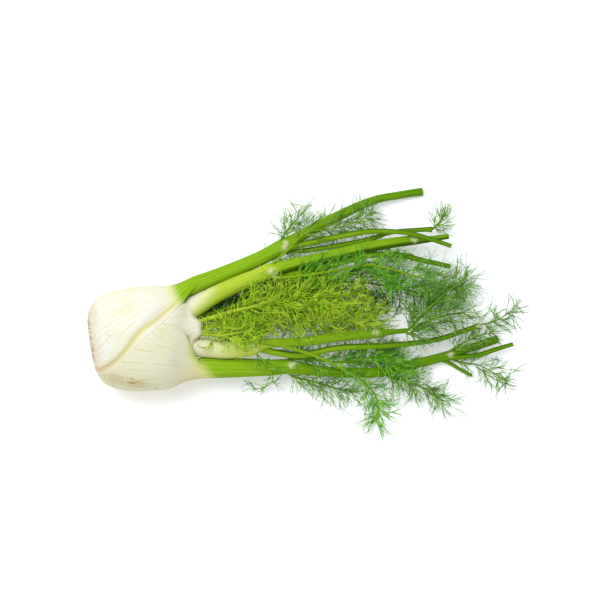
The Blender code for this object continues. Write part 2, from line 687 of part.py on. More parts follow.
def build_frond(room, row, draw):
    """A frond: its stem, the pinnae along it on alternate sides, and threads along those."""
    name, colour, rows, first, count, pinna_length, thread_length, spread = row
    points, radii = route_points(rows, RACHIS_STEP)
    stem = tube(name, points, radii, RACHIS_SIDES, colour)
    room.take(name, points, radii)
    pieces = []
    total = len(rows) - 1
    for k in range(count):
        share = first + (1.0 - first) * (k + 0.5) / count
        here, ahead = through(rows, share * total), through(rows, share * total + 0.05)
        root = Vector(here[:3])
        along = (Vector(ahead[:3]) - root).normalized() if share < 0.99 else along
        level = Vector((0, 0, 1)).cross(along).normalized() * (1 if k % 2 else -1)
        roll = math.radians(draw.uniform(-1, 1) * spread)
        towards = level * math.cos(roll) + Vector((0, 0, 1)) * math.sin(roll)
        size = pinna_length * (1.0 - 0.45 * abs(2 * share - 1.0)) * draw.uniform(0.8, 1.1)
        radius = min(PINNA_RADIUS, SUNK * here[3] / 2)
        grown = grow(room, name, draw, root, along, towards, PINNA_ANGLE, size, radius, 1)
        if grown is None:
            continue
        room.take(name, *grown)
        pieces.append(tube(f"{name}_{len(pieces)}", *grown, THREAD_SIDES, colour, True))
        pieces += build_threads(room, name, colour, draw, grown, thread_length, len(pieces))
    return fuse(stem, pieces)


def build_threads(room, name, colour, draw, grown_on, length, made):
    """The threads along both sides of a pinna."""
    pieces = []
    pinna, widths = grown_on
    reach = sum((b - a).length for a, b in zip(pinna, pinna[1:]))
    count = max(3, round(reach / THREAD_SPACING * 2))
    for j in range(count):
        share = 0.24 + 0.50 * j / (count - 1)
        i = 0 if share < 0.5 else 1
        radius = widths[0] if share < 0.5 else widths[1] * 2 * (1.0 - share)
        radius = max(THREAD_LEAST, min(THREAD_RADIUS, SUNK / 2 * radius))
        root = pinna[i].lerp(pinna[i + 1], share * 2 - i)
        along = (pinna[i + 1] - pinna[i]).normalized()
        level = along.cross(Vector((0.2, 0.1, 1.0))).normalized() * (1 if j % 2 else -1)
        roll = draw.uniform(-1.0, 1.0)
        towards = level * math.cos(roll) + Vector((0, 0, 1)) * math.sin(roll)
        size = length * draw.uniform(0.7, 1.15)
        grown = grow(room, name, draw, root, along, towards, THREAD_ANGLE, size, radius, 0)
        if grown is None:
            continue
        room.take(name, *grown)
        pieces.append(tube(f"{name}_{made + len(pieces)}", *grown, THREAD_SIDES, colour, True))
    return pieces


def main():
    clear_scene()
    build_root_plate()
    build_heart()
    stalks = {
        "stalk_upper": build_outer_leaf("upper", 0.0, upper_span, upper_depths, STALK_UPPER, 1,
                                        SPLIT_UPPER, BLEND_UPPER),
        "stalk_lower": build_outer_leaf("lower", LOWER_SET_IN, lower_span, lower_depths, STALK_LOWER, -1,
                                        SPLIT_LOWER, BLEND_LOWER),
        "stalk_middle": build_inner_stalk("stalk_middle", STALK_MIDDLE),
        "stalk_inner": build_inner_stalk("stalk_inner", STALK_INNER),
    }
    room = Room()
    routes = {"stalk_upper": STALK_UPPER, "stalk_lower": STALK_LOWER,
              "stalk_middle": STALK_MIDDLE, "stalk_inner": STALK_INNER}
    for name, rows in routes.items():
        room.take(name, *route_points(rows, STALK_STEP))
    side_stems = {name: [] for name in stalks}
    for owner, rows in SIDE_STEMS:
        points, radii = route_points(rows, SIDE_STEM_STEP)
        room.take(owner, points, radii)
        piece = tube(f"{owner}_side_{len(side_stems[owner])}", points, radii, SIDE_STEM_SIDES,
                     "green_stalk")
        side_stems[owner].append(piece)
    for name, pieces in side_stems.items():
        fuse(stalks[name], pieces)
    for row in FRONDS:
        room.take(row[0], *route_points(row[2], RACHIS_STEP))
    for number, row in enumerate(FRONDS):
        build_frond(room, row, random.Random(SEED + number))


main()
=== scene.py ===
"""Florence fennel as it comes from the market, lying on a white table and seen from straight above."""

import math
import random
from functools import lru_cache

import bmesh
import bpy
import numpy as np
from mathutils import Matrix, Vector


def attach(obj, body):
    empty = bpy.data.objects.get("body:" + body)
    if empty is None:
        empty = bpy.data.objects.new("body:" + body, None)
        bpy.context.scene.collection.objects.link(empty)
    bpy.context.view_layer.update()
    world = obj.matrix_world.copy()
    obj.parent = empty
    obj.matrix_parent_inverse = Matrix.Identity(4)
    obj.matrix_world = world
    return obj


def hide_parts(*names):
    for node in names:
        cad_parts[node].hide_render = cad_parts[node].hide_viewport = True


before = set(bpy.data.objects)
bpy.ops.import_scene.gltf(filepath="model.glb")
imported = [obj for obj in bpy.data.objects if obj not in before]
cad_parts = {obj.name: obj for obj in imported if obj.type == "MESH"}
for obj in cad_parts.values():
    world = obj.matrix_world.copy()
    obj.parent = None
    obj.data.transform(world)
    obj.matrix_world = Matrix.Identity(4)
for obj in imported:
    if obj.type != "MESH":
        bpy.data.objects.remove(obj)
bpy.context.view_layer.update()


# The upper leaf
# The outermost leaf: its pale fleshy base wraps most of the bulb, and gathers on the far flank
# into a ribbed green stalk. Its free margin runs slantwise over the bulb as a soft fold.

MM = 0.001
# Sections of the bulb: x and y of the middle, half width, half height, and turn in degrees.
BULB = (
    (-46.4, -6.3, 24.6, 17.0, 9.5),
    (-44.6, -3.9, 30.6, 21.5, 7.5),
    (-39.5, -2.4, 37.6, 26.5, 5.0),
    (-30.0, -1.6, 42.8, 30.5, 3.0),
    (-12.6, -1.3, 46.4, 33.8, 1.0),
    (5.4, -0.4, 47.2, 34.2, 0.0),
    (23.4, 0.9, 46.6, 29.5, 0.0),
    (36.0, 4.6, 46.0, 22.5, 0.0),
    (52.0, 10.0, 47.0, 14.5, 0.0),
)
AXIS_HEIGHT = 32.6
SQUARENESS = 2.3
BASE_X = BULB[0][0]
NECK_X = BULB[-1][0]
# Where the free margins lie: x, then y on the upper face, then y on the underside.
UPPER_MARGIN = (
    (-47.0, -31.0, -26.0),
    (-34.0, -29.5, -24.5),
    (-22.0, -24.0, -23.0),
    (-10.0, -13.4, -21.0),
    (2.0, -1.6, -17.0),
    (14.0, 9.4, -6.0),
    (26.0, 20.6, 12.0),
    (36.0, 32.0, 28.0),
    (52.0, 43.0, 41.0),
)
LOWER_MARGIN = (
    (-47.0, 0.0, -14.0),
    (-30.0, 5.0, -11.0),
    (-12.0, 9.5, -8.0),
    (5.0, 13.5, -5.0),
    (19.0, 14.0, -8.0),
    (33.0, 10.0, -12.0),
    (41.0, 3.4, -14.0),
    (46.5, -5.0, -15.0),
    (52.0, -16.0, -17.5),
)
# How the veins of the lower leaf fan: x, then the angles that a fan's two sides pass through.
LOWER_FAN = (
    (-47.0, 72.0, 255.0),
    (-3.0, 83.0, 250.0),
    (14.0, 88.0, 240.0),
    (26.0, 95.0, 222.0),
    (41.0, 109.0, 192.0),
    (52.0, 122.0, 184.0),
)
# The stalk's route: x, y and z of its middle, and its width.
UPPER_ROUTE = (
    (8.0, 36.0, 33.0, 18.0),
    (32.0, 41.5, 33.0, 17.5),
    (50.4, 49.2, 32.0, 15.0),
    (72.9, 58.3, 29.5, 13.2),
    (95.4, 67.5, 27.5, 13.0),
    (110.0, 74.4, 26.0, 12.8),
    (123.3, 81.5, 24.5, 13.8),
    (140.4, 91.4, 22.0, 9.8),
    (167.4, 106.2, 18.0, 9.6),
    (204.7, 123.7, 11.5, 7.4),
    (232.2, 129.8, 6.8, 6.8),
    (251.6, 132.8, 3.7, 7.2),
)
UPPER_KNOTS = ((126.5, 81.0, 31.0), (127.5, 85.5, 30.0))
MARGIN_THICKNESS = 0.18
SHEATH_THICKNESS = 3.2
MARGIN_TAPER = 12.0
LEAF_GAP = 0.06
DIP, DIP_WIDTH = 0.3, 1.8
FOLD_FROM, FOLD_TO = -34.0, 4.0
FOLD_NEAR, FOLD_FAR, FOLD_DEPTH = 3.6, 7.4, 1.6
FOLD_NARROW, FOLD_WIDE = 2.6, 5.6
# Where the fold widens, deepens past the foot and fades out again: the start and the length.
FOLD_WIDENS, FOLD_DEEPENS, FOLD_FADES = (-14.0, 30.0), (4.0, 12.0), (16.0, 16.0)
FLANK_THICKNESS = 13.0
FLANK_FROM, FLANK_TO = 8.0, 36.0
BLEND_FROM, BLEND_TO = 20.0, 50.0
MARGIN_HOLD = 14.0
OUTER_POINTS, INNER_POINTS = 160, 36
STALK_FLATNESS = 0.9
# Where a stalk's sections turn from square to the bulb to square to the stalk.
STALK_TURNS = (44.0, 24.0)
# The ribs round a leaf's stalk: each wave's height, number and shift.
STALK_RIBS = ((0.022, 36, 0), (0.02, 14, 1))
KNOT_REACH = 5.5


def smooth(t):
    t = min(1.0, max(0.0, t))
    return t * t * (3.0 - 2.0 * t)


def eased(x, start, length):
    """0 up to the start, 1 past the length from there, with a soft rise between."""
    return smooth((x - start) / length)


def through(rows, place):
    """A smooth curve through the rows, read at place, which counts rows from 0."""
    last = len(rows) - 1
    place = min(float(last), max(0.0, place))
    i = min(int(place), last - 1)
    t = place - i
    p1, p2 = np.array(rows[i]), np.array(rows[i + 1])
    p0 = np.array(rows[i - 1]) if i > 0 else 2 * p1 - p2
    p3 = np.array(rows[i + 2]) if i + 2 <= last else 2 * p2 - p1
    return 0.5 * (
        2 * p1 + (p2 - p0) * t + (2 * p0 - 5 * p1 + 4 * p2 - p3) * t**2
        + (3 * p1 - p0 - 3 * p2 + p3) * t**3
    )


@lru_cache(maxsize=None)
def at_x(rows, x):
    """The rows read at x, where they run along +X."""
    low, high = len(rows) - 2.0, len(rows) - 1.0
    for i in range(len(rows) - 1):
        if x <= rows[i + 1][0]:
            low, high = float(i), float(i + 1)
            break
    for _ in range(20):
        middle = (low + high) / 2
        if through(rows, middle)[0] < x:
            low = middle
        else:
            high = middle
    return through(rows, (low + high) / 2)


def bulb_point(x, angle, depth):
    """A point of the bulb's surface, or depth below it, at the angle from +Y towards +Z."""
    _, y, half_width, half_height, turn = at_x(BULB, x)
    power = 2.0 / SQUARENESS
    across = math.copysign(abs(math.cos(angle)) ** power, math.cos(angle))
    up = math.copysign(abs(math.sin(angle)) ** power, math.sin(angle))
    side = (half_width - depth) * across
    turn = math.radians(turn)
    z = AXIS_HEIGHT + (half_height - depth) * up
    return Vector((x - side * math.sin(turn), y + side * math.cos(turn), max(z, depth)))


def angle_at_y(x, y):
    """The angle, from 0 to pi, at which the bulb's section at x reaches that y."""
    _, middle, half_width, _, _ = at_x(BULB, x)
    share = min(0.999, max(-0.999, (y - middle) / half_width))
    return math.acos(math.copysign(abs(share) ** (SQUARENESS / 2.0), share))


@lru_cache(maxsize=None)
def upper_span(x):
    _, front, back = at_x(UPPER_MARGIN, x)
    return angle_at_y(x, front), -angle_at_y(x, back)


@lru_cache(maxsize=None)
def lower_span(x):
    _, front, back = at_x(LOWER_MARGIN, x)
    return angle_at_y(x, front), 2 * math.pi - angle_at_y(x, back)


def inside_margin(x, angle, span):
    """How far inside a leaf's margin a place on the bulb is, in mm, below 0 outside it."""
    half = abs(span[1] - span[0]) / 2
    middle = (span[0] + span[1]) / 2
    off = abs((angle - middle + math.pi) % (2 * math.pi) - math.pi)
    section = at_x(BULB, x)
    return (half - off) * (section[2] + section[3]) / 2


def thickness(x, angle, span, full):
    taper = smooth(inside_margin(x, angle, span) / MARGIN_TAPER)
    return MARGIN_THICKNESS + (full - MARGIN_THICKNESS) * taper


def full_thickness(x):
    gather = smooth((x - FLANK_FROM) / (FLANK_TO - FLANK_FROM))
    return SHEATH_THICKNESS + (FLANK_THICKNESS - SHEATH_THICKNESS) * gather


def margin_fold(x, angle):
    """The soft dip that runs alongside the upper leaf's free margin, as a depth."""
    inside = inside_margin(x, angle, upper_span(x))
    share = min(1.0, max(0.0, (x - FOLD_FROM) / (FOLD_TO - FOLD_FROM)))
    width = FOLD_NARROW + (FOLD_WIDE - FOLD_NARROW) * eased(x, *FOLD_WIDENS)
    fade = eased(x - BASE_X, *FOLD_DEEPENS) * (1.0 - eased(x, *FOLD_FADES))
    off = inside - FOLD_NEAR - (FOLD_FAR - FOLD_NEAR) * share
    return FOLD_DEPTH * math.exp(-((off / width) ** 2)) * fade


def margin_dip(inside):
    """A leaf's last bit before its margin dips into the leaf below, so that no gap shows."""
    return DIP * (1.0 - smooth(inside / DIP_WIDTH))


def upper_depths(x, angle):
    top = margin_fold(x, angle) + margin_dip(inside_margin(x, angle, upper_span(x)))
    return top, top + thickness(x, angle, upper_span(x), full_thickness(x))


def lower_depths(x, angle):
    covered = inside_margin(x, angle, upper_span(x))
    top = (MARGIN_THICKNESS + LEAF_GAP) * smooth((covered + 2.0) / 2.0) + margin_fold(x, angle)
    top += (SHEATH_THICKNESS - MARGIN_THICKNESS) * smooth(covered / MARGIN_TAPER)
    top += margin_dip(inside_margin(x, angle, lower_span(x)))
    return top, top + thickness(x, angle, lower_span(x), full_thickness(x))


def upper_vein(x, angle):
    """Which vein of the leaf passes there, from 0 to 1 across the leaf."""
    front, back = upper_span(x)
    return (angle - front) / (back - front)


def lower_vein(x, angle):
    _, front, back = at_x(LOWER_FAN, x)
    return (math.degrees(angle) - front) / (back - front)


@lru_cache(maxsize=None)
def stalk_frame(rows, x):
    """The route at x, with its directions along, to the side and up. Near the bulb the
    section lies square to the bulb, further out square to the stalk."""
    here = at_x(rows, x)
    inside = min(rows[-1][0] - 1.0, max(rows[0][0] + 1.0, x))
    along = Vector(at_x(rows, inside + 1.0)[:3] - at_x(rows, inside - 1.0)[:3]).normalized()
    facing = Vector((1, 0, 0)).lerp(along, eased(x, *STALK_TURNS)).normalized()
    side = Vector((0, 0, 1)).cross(facing).normalized() / facing.dot(along)
    up = Vector((0, 0, 1)) - facing * facing.z
    return here, side, up.normalized()


def oval_point(rows, x, angle, outward, swell=1.0):
    """A point of a stalk's cross-section where its route is at x."""
    here, side, up = stalk_frame(rows, x)
    radius = here[3] / 2 * swell
    return (
        Vector(here[:3]) + side * outward * radius * math.cos(angle)
        + up * radius * STALK_FLATNESS * math.sin(angle)
    )


def leaf_ring(x, span, depths, vein_at, rows, outward, blend_to):
    """A leaf's section at x: a crescent round the bulb that gathers into the stalk's oval. The
    free margin holds to the bulb longer than the rest.

    Each point comes with its place across the leaf, from 0 at the front margin to 1, its
    distance from the upper leaf's margin, and the vein that passes there."""
    on_bulb = min(x, NECK_X)
    spanned = span(on_bulb)
    ring = []
    for inner, count in ((False, OUTER_POINTS), (True, INNER_POINTS)):
        for k in range(count):
            across = 1.0 - k / (count - 1) if inner else k / (count - 1)
            blend_from = BLEND_FROM + MARGIN_HOLD * (1.0 - smooth(across / 0.25))
            share = smooth((x - blend_from) / (blend_to - blend_from))
            turn = math.pi / 2 - math.pi * (k + 0.5) / count - (math.pi if inner else 0.0)
            ribs = 1.0 if inner else 1.0 + sum(h * math.sin(n * turn + s) for h, n, s in STALK_RIBS)
            angle = spanned[0] + (spanned[1] - spanned[0]) * across
            point = oval_point(rows, x, turn, outward, ribs)
            if share < 1.0:
                depth = depths(on_bulb, angle)[1 if inner else 0]
                crescent = bulb_point(on_bulb, angle, depth)
                crescent.x += x - on_bulb
                point = crescent.lerp(point, share)
            edge = abs(inside_margin(on_bulb, angle, upper_span(on_bulb)))
            ring.append((point, across, edge, vein_at(on_bulb, angle)))
    return ring


def stations(start, end, step):
    return [float(x) for x in np.linspace(start, end, max(2, round((end - start) / step) + 1))]


def near_knot(point, knots):
    """1 at a stalk's knot, falling to 0 at the reach from it."""
    gaps = [(Vector(point) - Vector(knot)).length for knot in knots]
    return smooth(1.0 - min(gaps, default=KNOT_REACH) / KNOT_REACH)


def loft(name, rings, alongs, knots=(), cut=0):
    """One closed skin through the rings, made by extruding the first ring's face through them.

    For the skin's material, each point keeps its place across and along the leaf, its distance
    from the margin, its vein, and how pale it is: at the knots, and on a cut end's last rings."""
    shape = bmesh.new()
    words = ("across", "edge", "vein", "along", "pale")
    layers = [shape.verts.layers.float.new(word) for word in words]

    def place(corners, ring, along, bare):
        for corner, (point, across, edge, vein) in zip(corners, ring):
            corner.co = Vector(point) * MM
            pale = 1.0 if bare else near_knot(point, knots)
            for layer, value in zip(layers, (across, edge * MM, vein, along * MM, pale)):
                corner[layer] = value

    corners = [shape.verts.new() for _ in rings[0]]
    place(corners, rings[0], alongs[0], False)
    face = shape.faces.new(corners)
    for k in range(1, len(rings)):
        face = bmesh.ops.extrude_discrete_faces(shape, faces=[face])["faces"][0]
        place(face.verts, rings[k], alongs[k], k >= len(rings) - cut)
    shape.faces.new(reversed(corners))
    bmesh.ops.triangulate(shape, faces=[f for f in shape.faces if len(f.verts) > 4])
    bmesh.ops.recalc_face_normals(shape, faces=shape.faces)
    return finished(name, shape)


def finished(name, shape):
    """The bmesh as an object with smooth shading."""
    mesh = bpy.data.meshes.new(name)
    shape.to_mesh(mesh)
    shape.free()
    mesh.shade_smooth()
    made = bpy.data.objects.new(name, mesh)
    bpy.context.scene.collection.objects.link(made)
    return made


CUT_STEPS = ((0.96, 0.25), (0.86, 0.35), (0.78, 0.05), (0.70, -0.35), (0.3, -0.35))


def cut_end(rings, alongs):
    """Adds a cut stalk end: a rounded rim and, on the last two rings, a sunken pale pith."""
    ring = rings[-1]
    middle = sum((Vector(p[0]) for p in ring), Vector()) / len(ring)
    back = sum((Vector(p[0]) for p in rings[-2]), Vector()) / len(ring)
    ahead = (middle - back).normalized() * max((Vector(p[0]) - middle).length for p in ring) / 4
    for size, step in CUT_STEPS:
        rings.append([(middle + (Vector(p) - middle) * size + ahead * step, *rest) for p, *rest in ring])
        alongs.append(alongs[-1])


def outer_leaf(name, set_in, span, depths, vein_at, rows, outward, blend_to, knots):
    xs = [BASE_X + set_in, BASE_X + set_in + 0.5]
    xs += stations(BASE_X + set_in + 1.2, blend_to, 1.25)
    xs += stations(blend_to + 2.5, rows[-1][0], 3.0)
    rings = [leaf_ring(x, span, depths, vein_at, rows, outward, blend_to) for x in xs]
    cut_end(rings, xs)
    return loft(name, rings, xs, knots, cut=2)


# Colours are given as they look in the picture, from 0 to 255, on a face turned upwards. The
# lights there are a little stronger than a full white needs.
LIGHT_LEVEL = 1.16


def paint(red, green, blue):
    shares = [v / 255 for v in (red, green, blue)]
    shares = [s / 12.92 if s <= 0.04045 else ((s + 0.055) / 1.055) ** 2.4 for s in shares]
    return (*[s / LIGHT_LEVEL for s in shares], 1.0)


def put(tree, kind, **settings):
    """A node of that kind, with its settings and the values of its named inputs."""
    made = tree.nodes.new("ShaderNode" + kind)
    for key, value in settings.items():
        if key in made.inputs:
            made.inputs[key].default_value = value
        else:
            setattr(made, key, value)
    return made


def fed(tree, made, *values):
    """The node with its first inputs set to the values, or joined where they are sockets."""
    for socket, value in zip(made.inputs, values):
        if isinstance(value, (int, float, tuple)):
            socket.default_value = value
        else:
            tree.links.new(value, socket)
    return made


def sums(tree, operation, *values):
    return fed(tree, put(tree, "Math", operation=operation), *values).outputs[0]


def blend(tree, share, a, b):
    """Colour a turning into colour b by the share."""
    return fed(tree, put(tree, "MixRGB"), share, a, b).outputs[0]


def ramp(tree, value, low, high):
    """0 below low, 1 above high, with a soft rise between."""
    made = put(tree, "MapRange", interpolation_type="SMOOTHSTEP")
    return fed(tree, made, value, low, high).outputs["Result"]


def noise(tree, place, scale, detail=2.0, **settings):
    made = put(tree, "TexNoise", Scale=scale, Detail=detail, **settings)
    tree.links.new(place, made.inputs["W" if settings else "Vector"])
    return made.outputs[0]


def attribute(tree, word):
    return put(tree, "Attribute", attribute_name=word).outputs["Fac"]


def skin(name, roughness):
    """A new material, its tree, its shader and its object coordinates."""
    made = bpy.data.materials.new(name)
    made.use_nodes = True
    tree = made.node_tree
    shader = tree.nodes["Principled BSDF"]
    shader.inputs["Roughness"].default_value = roughness
    shader.inputs["Specular IOR Level"].default_value = 0.12
    return made, tree, shader, put(tree, "TexCoord").outputs["Object"]


VEIN_INPUTS = (("Across", 0.0), ("Along", 0.0), ("Count", 40.0), ("Wander", 0.5), ("Width", 0.5))


def vein_group():
    """Lines that run the length of a leaf: a mask that is 1 on each line."""
    tree = bpy.data.node_groups.new("leaf veins", "ShaderNodeTree")
    for name, value in VEIN_INPUTS:
        socket = tree.interface.new_socket(name, in_out="INPUT", socket_type="NodeSocketFloat")
        socket.default_value = value
    tree.interface.new_socket("Line", in_out="OUTPUT", socket_type="NodeSocketFloat")
    entry = tree.nodes.new("NodeGroupInput").outputs
    leave = tree.nodes.new("NodeGroupOutput").inputs
    place = sums(tree, "MULTIPLY", entry["Across"], entry["Count"])
    spot = fed(tree, put(tree, "CombineXYZ"), sums(tree, "MULTIPLY", place, 0.45),
               sums(tree, "MULTIPLY", entry["Along"], 26.0)).outputs[0]
    shift = sums(tree, "MULTIPLY", sums(tree, "SUBTRACT", noise(tree, spot, 1.0), 0.5), entry["Wander"])
    wave = sums(tree, "PINGPONG", sums(tree, "ADD", place, shift), 0.5)
    thin = sums(tree, "MULTIPLY", entry["Width"], 0.5)
    line = sums(tree, "SUBTRACT", 1.0, ramp(tree, wave, 0.0, thin))
    # Some lines are stronger than others, and each fades in and out along the leaf.
    strong = ramp(tree, noise(tree, spot, 1.7, 1.0), 0.30, 0.62)
    tree.links.new(sums(tree, "MULTIPLY", line, strong), leave["Line"])
    return tree


VEINS = vein_group()


def veins(tree, across, along, count, wander, width):
    made = put(tree, "Group")
    made.node_tree = VEINS
    return fed(tree, made, across, along, count, wander, width).outputs["Line"]


def spot(tree, place, centre, size):
    """A ragged spot round a place on the bulb, in mm, twice as long as wide."""
    squeeze = Vector((0.5, 1.0, 1.0))
    long = fed(tree, put(tree, "VectorMath", operation="MULTIPLY"), place)
    long.inputs[1].default_value = squeeze
    away = fed(tree, put(tree, "VectorMath", operation="DISTANCE"), long.outputs[0])
    away.inputs[1].default_value = bulb_point(centre[0], angle_at_y(*centre), 0.0) * MM * squeeze
    rough = sums(tree, "MULTIPLY_ADD", noise(tree, long.outputs[0], 500.0, 3.0), size * MM * 1.2,
                 away.outputs["Value"])
    return sums(tree, "SUBTRACT", 1.0, ramp(tree, rough, size * MM * 0.8, size * MM * 1.6))


WHITE = paint(247, 246, 240)
CREAM = paint(243, 242, 222)
BUFF_TINT_AND_SHADE = paint(235, 231, 182)
VEIN = paint(222, 223, 146)
SHADE_KHAKI = paint(223, 214, 136)
TAN_DRIED_AND_SHADE = paint(222, 198, 162)
RUST = paint(184, 146, 96)
BROWN = paint(84, 60, 36)
SPROUT = paint(222, 232, 112)
FRESH = paint(202, 224, 66)
LIME = paint(184, 216, 48)
GREEN = paint(140, 190, 12)
DEEP = paint(98, 154, 2)
DARK_GREEN_AND_SHADE = paint(60, 108, 2)
KNOT = paint(238, 240, 190)


# Where along the bulb's x axis, in metres, the middle and inner stalks are past their knots.
PAST_KNOT = (0.108, 0.124)
# How far to the sides of its middle, in mm, the start of the green slants.
SLANT_REACH = 11.0


def leaf_skin(name, green_at, green_over, slant=0.0, count=34.0, width=0.4, strength=0.5,
              deepen=(0.08, 0.24), fold=0.0, buff=0.0, dry=1.0, shade=0.0, fresh=0.0, sprout=None,
              marks=()):
    """Pale fleshy leaf base with fine veins, turning into ribbed green stalk at green_at.

    green_at is the x and y in mm where the green starts, and slant how the start moves with y.
    count, width and strength are the veins', and deepen is where the stalk's green deepens.
    fold is how strongly painted shade darkens the fold beside the margin, buff how buff the base is,
    dry how brown the trimmed edge is, shade how strongly painted shade darkens the stalk's near side
    past its knot, and fresh how yellow-green it is before it. sprout holds the first faint green back
    to a stretch of x."""
    made, tree, shader, place = skin(name, 0.40)
    shader.inputs["Subsurface Weight"].default_value = 0.10
    shader.inputs["Subsurface Radius"].default_value = (0.9, 1.0, 0.5)
    shader.inputs["Subsurface Scale"].default_value = 0.002
    words = ("across", "edge", "vein", "along", "pale")
    across, edge, vein, along, pale = [attribute(tree, word) for word in words]
    drift = noise(tree, place, 34.0, 3.0)
    fine = noise(tree, place, 300.0, 4.0)
    # Broad drifts of tint, and the buff setting's own tint, over the leaf base; lower down, painted
    # shade where the flanks turn from the light, buff and then khaki.
    spread = put(tree, "SeparateXYZ")
    tree.links.new(place, spread.inputs[0])
    _, y, z = spread.outputs
    low = sums(tree, "SUBTRACT", 1.0, ramp(tree, z, 0.020, 0.058))
    base = blend(tree, ramp(tree, drift, 0.38, 0.66), WHITE, CREAM)
    base = blend(tree, sums(tree, "MULTIPLY_ADD", low, 0.75, buff), base, BUFF_TINT_AND_SHADE)
    # Painted shade: khaki deepens towards the table on the flanks.
    painted_flank_shade = sums(tree, "SUBTRACT", 1.0, ramp(tree, z, 0.018, 0.052))
    base = blend(tree, sums(tree, "MULTIPLY", painted_flank_shade, 0.8), base, SHADE_KHAKI)
    # Veins: a few clear ones, and fine streaks between.
    line = veins(tree, vein, along, count, 0.7, width)
    hair = veins(tree, vein, along, count * 3.3, 0.8, 0.9)
    base = blend(tree, sums(tree, "MULTIPLY", line, strength), base, VEIN)
    base = blend(tree, sums(tree, "MULTIPLY", hair, strength * 0.35), base, VEIN)
    # Painted shade in the fold's valley beside the upper leaf's margin: buff around it, khaki at its
    # bottom, and tan towards the foot.
    if fold:
        ends = [value * MM for value in (FOLD_FROM, FOLD_TO, FOLD_NEAR, FOLD_FAR)]
        valley = fed(tree, put(tree, "MapRange"), along, *ends).outputs["Result"]
        off = sums(tree, "ABSOLUTE", sums(tree, "SUBTRACT", edge, valley))
        fold_shade_core = sums(tree, "SUBTRACT", 1.0, ramp(tree, off, 0.0, FOLD_NARROW * MM * 1.4))
        fold_shade_rim = sums(tree, "SUBTRACT", 1.0, ramp(tree, off, 0.0, FOLD_WIDE * MM * 1.8))
        base = blend(tree, sums(tree, "MULTIPLY", fold_shade_rim, fold * 0.7), base, BUFF_TINT_AND_SHADE)
        base = blend(tree, sums(tree, "MULTIPLY", fold_shade_core, fold), base, SHADE_KHAKI)
        foot = sums(tree, "SUBTRACT", 1.0, ramp(tree, along, -0.036, -0.012))
        base = blend(tree, sums(tree, "MULTIPLY", sums(tree, "MULTIPLY", fold_shade_core, foot), 0.7), base, TAN_DRIED_AND_SHADE)
    # The trimmed base has dried: tan, then a thin brown rim with dark flecks.
    if dry:
        worn = sums(tree, "MULTIPLY_ADD", drift, 0.020, sums(tree, "MULTIPLY_ADD", fine, 0.006, along))
        tan = sums(tree, "SUBTRACT", 1.0, ramp(tree, worn, -0.0345, -0.0215))
        rust = sums(tree, "SUBTRACT", 1.0, ramp(tree, worn, -0.0352, -0.0310))
        base = blend(tree, sums(tree, "MULTIPLY", tan, 0.62 * dry), base, TAN_DRIED_AND_SHADE)
        base = blend(tree, sums(tree, "MULTIPLY", rust, 0.7 * dry), base, RUST)
        fleck = sums(tree, "MULTIPLY", ramp(tree, noise(tree, place, 620.0, 2.0), 0.56, 0.64),
                     sums(tree, "SUBTRACT", 1.0, ramp(tree, along, -0.0450, -0.0425)))
        base = blend(tree, fleck, base, BROWN)
    # The stalk: bright ridges between deeper grooves, deepening towards its tip.
    ridge = veins(tree, across, along, 15.0, 0.5, 0.95)
    groove = veins(tree, across, along, 37.0, 0.6, 0.6)
    deep = ramp(tree, along, *deepen)
    stalk = blend(tree, ridge, blend(tree, deep, GREEN, DEEP), blend(tree, deep, LIME, GREEN))
    stalk = blend(tree, sums(tree, "MULTIPLY", groove, 0.5), stalk, blend(tree, deep, DEEP, DARK_GREEN_AND_SHADE))
    stalk = blend(tree, sums(tree, "MULTIPLY", ramp(tree, drift, 0.45, 0.7), 0.45), stalk, GREEN)
    past = ramp(tree, along, *PAST_KNOT)
    # Painted shade: past the knot, the stalk's near, lower side is darkened.
    if shade:
        near = sums(tree, "MULTIPLY", past, sums(tree, "SUBTRACT", 1.0, ramp(tree, across, 0.30, 0.46)))
        stalk = blend(tree, sums(tree, "MULTIPLY", near, shade), stalk, DARK_GREEN_AND_SHADE)
    if fresh:
        before = sums(tree, "SUBTRACT", fresh, sums(tree, "MULTIPLY", past, fresh))
        stalk = blend(tree, before, stalk, FRESH)
    # Green runs up into the pale part in streaks, further between the veins.
    streak = noise(tree, sums(tree, "MULTIPLY", across, 70.0), 1.0, 2.0, noise_dimensions="1D")
    reach = sums(tree, "MULTIPLY_ADD", streak, -0.010, along)
    sides = [(green_at[1] + reach_out) * MM for reach_out in (-SLANT_REACH, SLANT_REACH)]
    side = fed(tree, put(tree, "Clamp"), y, *sides)
    reach = sums(tree, "MULTIPLY_ADD", side.outputs[0], slant, reach)
    begin = (green_at[0] + slant * green_at[1]) * MM - 0.005 - green_over / 2
    green = ramp(tree, reach, begin, begin + green_over)
    early = ramp(tree, reach, begin - 0.009, begin + green_over * 0.5)
    if sprout:
        early = sums(tree, "MULTIPLY", early, ramp(tree, along, *sprout))
    base = blend(tree, sums(tree, "MULTIPLY", early, 0.6), base, SPROUT)
    colour = blend(tree, green, base, stalk)
    # Knots and cut ends are pale and fibrous.
    fibres = ramp(tree, sums(tree, "MULTIPLY_ADD", pale, 0.35, fine), 0.52, 0.68)
    torn = sums(tree, "MULTIPLY", pale, fibres)
    colour = blend(tree, sums(tree, "MULTIPLY", torn, 0.9), colour, KNOT)
    for centre, size, share, tint in marks:
        mark = sums(tree, "MULTIPLY", spot(tree, place, centre, size), share)
        colour = blend(tree, mark, colour, tint)
    tree.links.new(colour, shader.inputs["Base Color"])
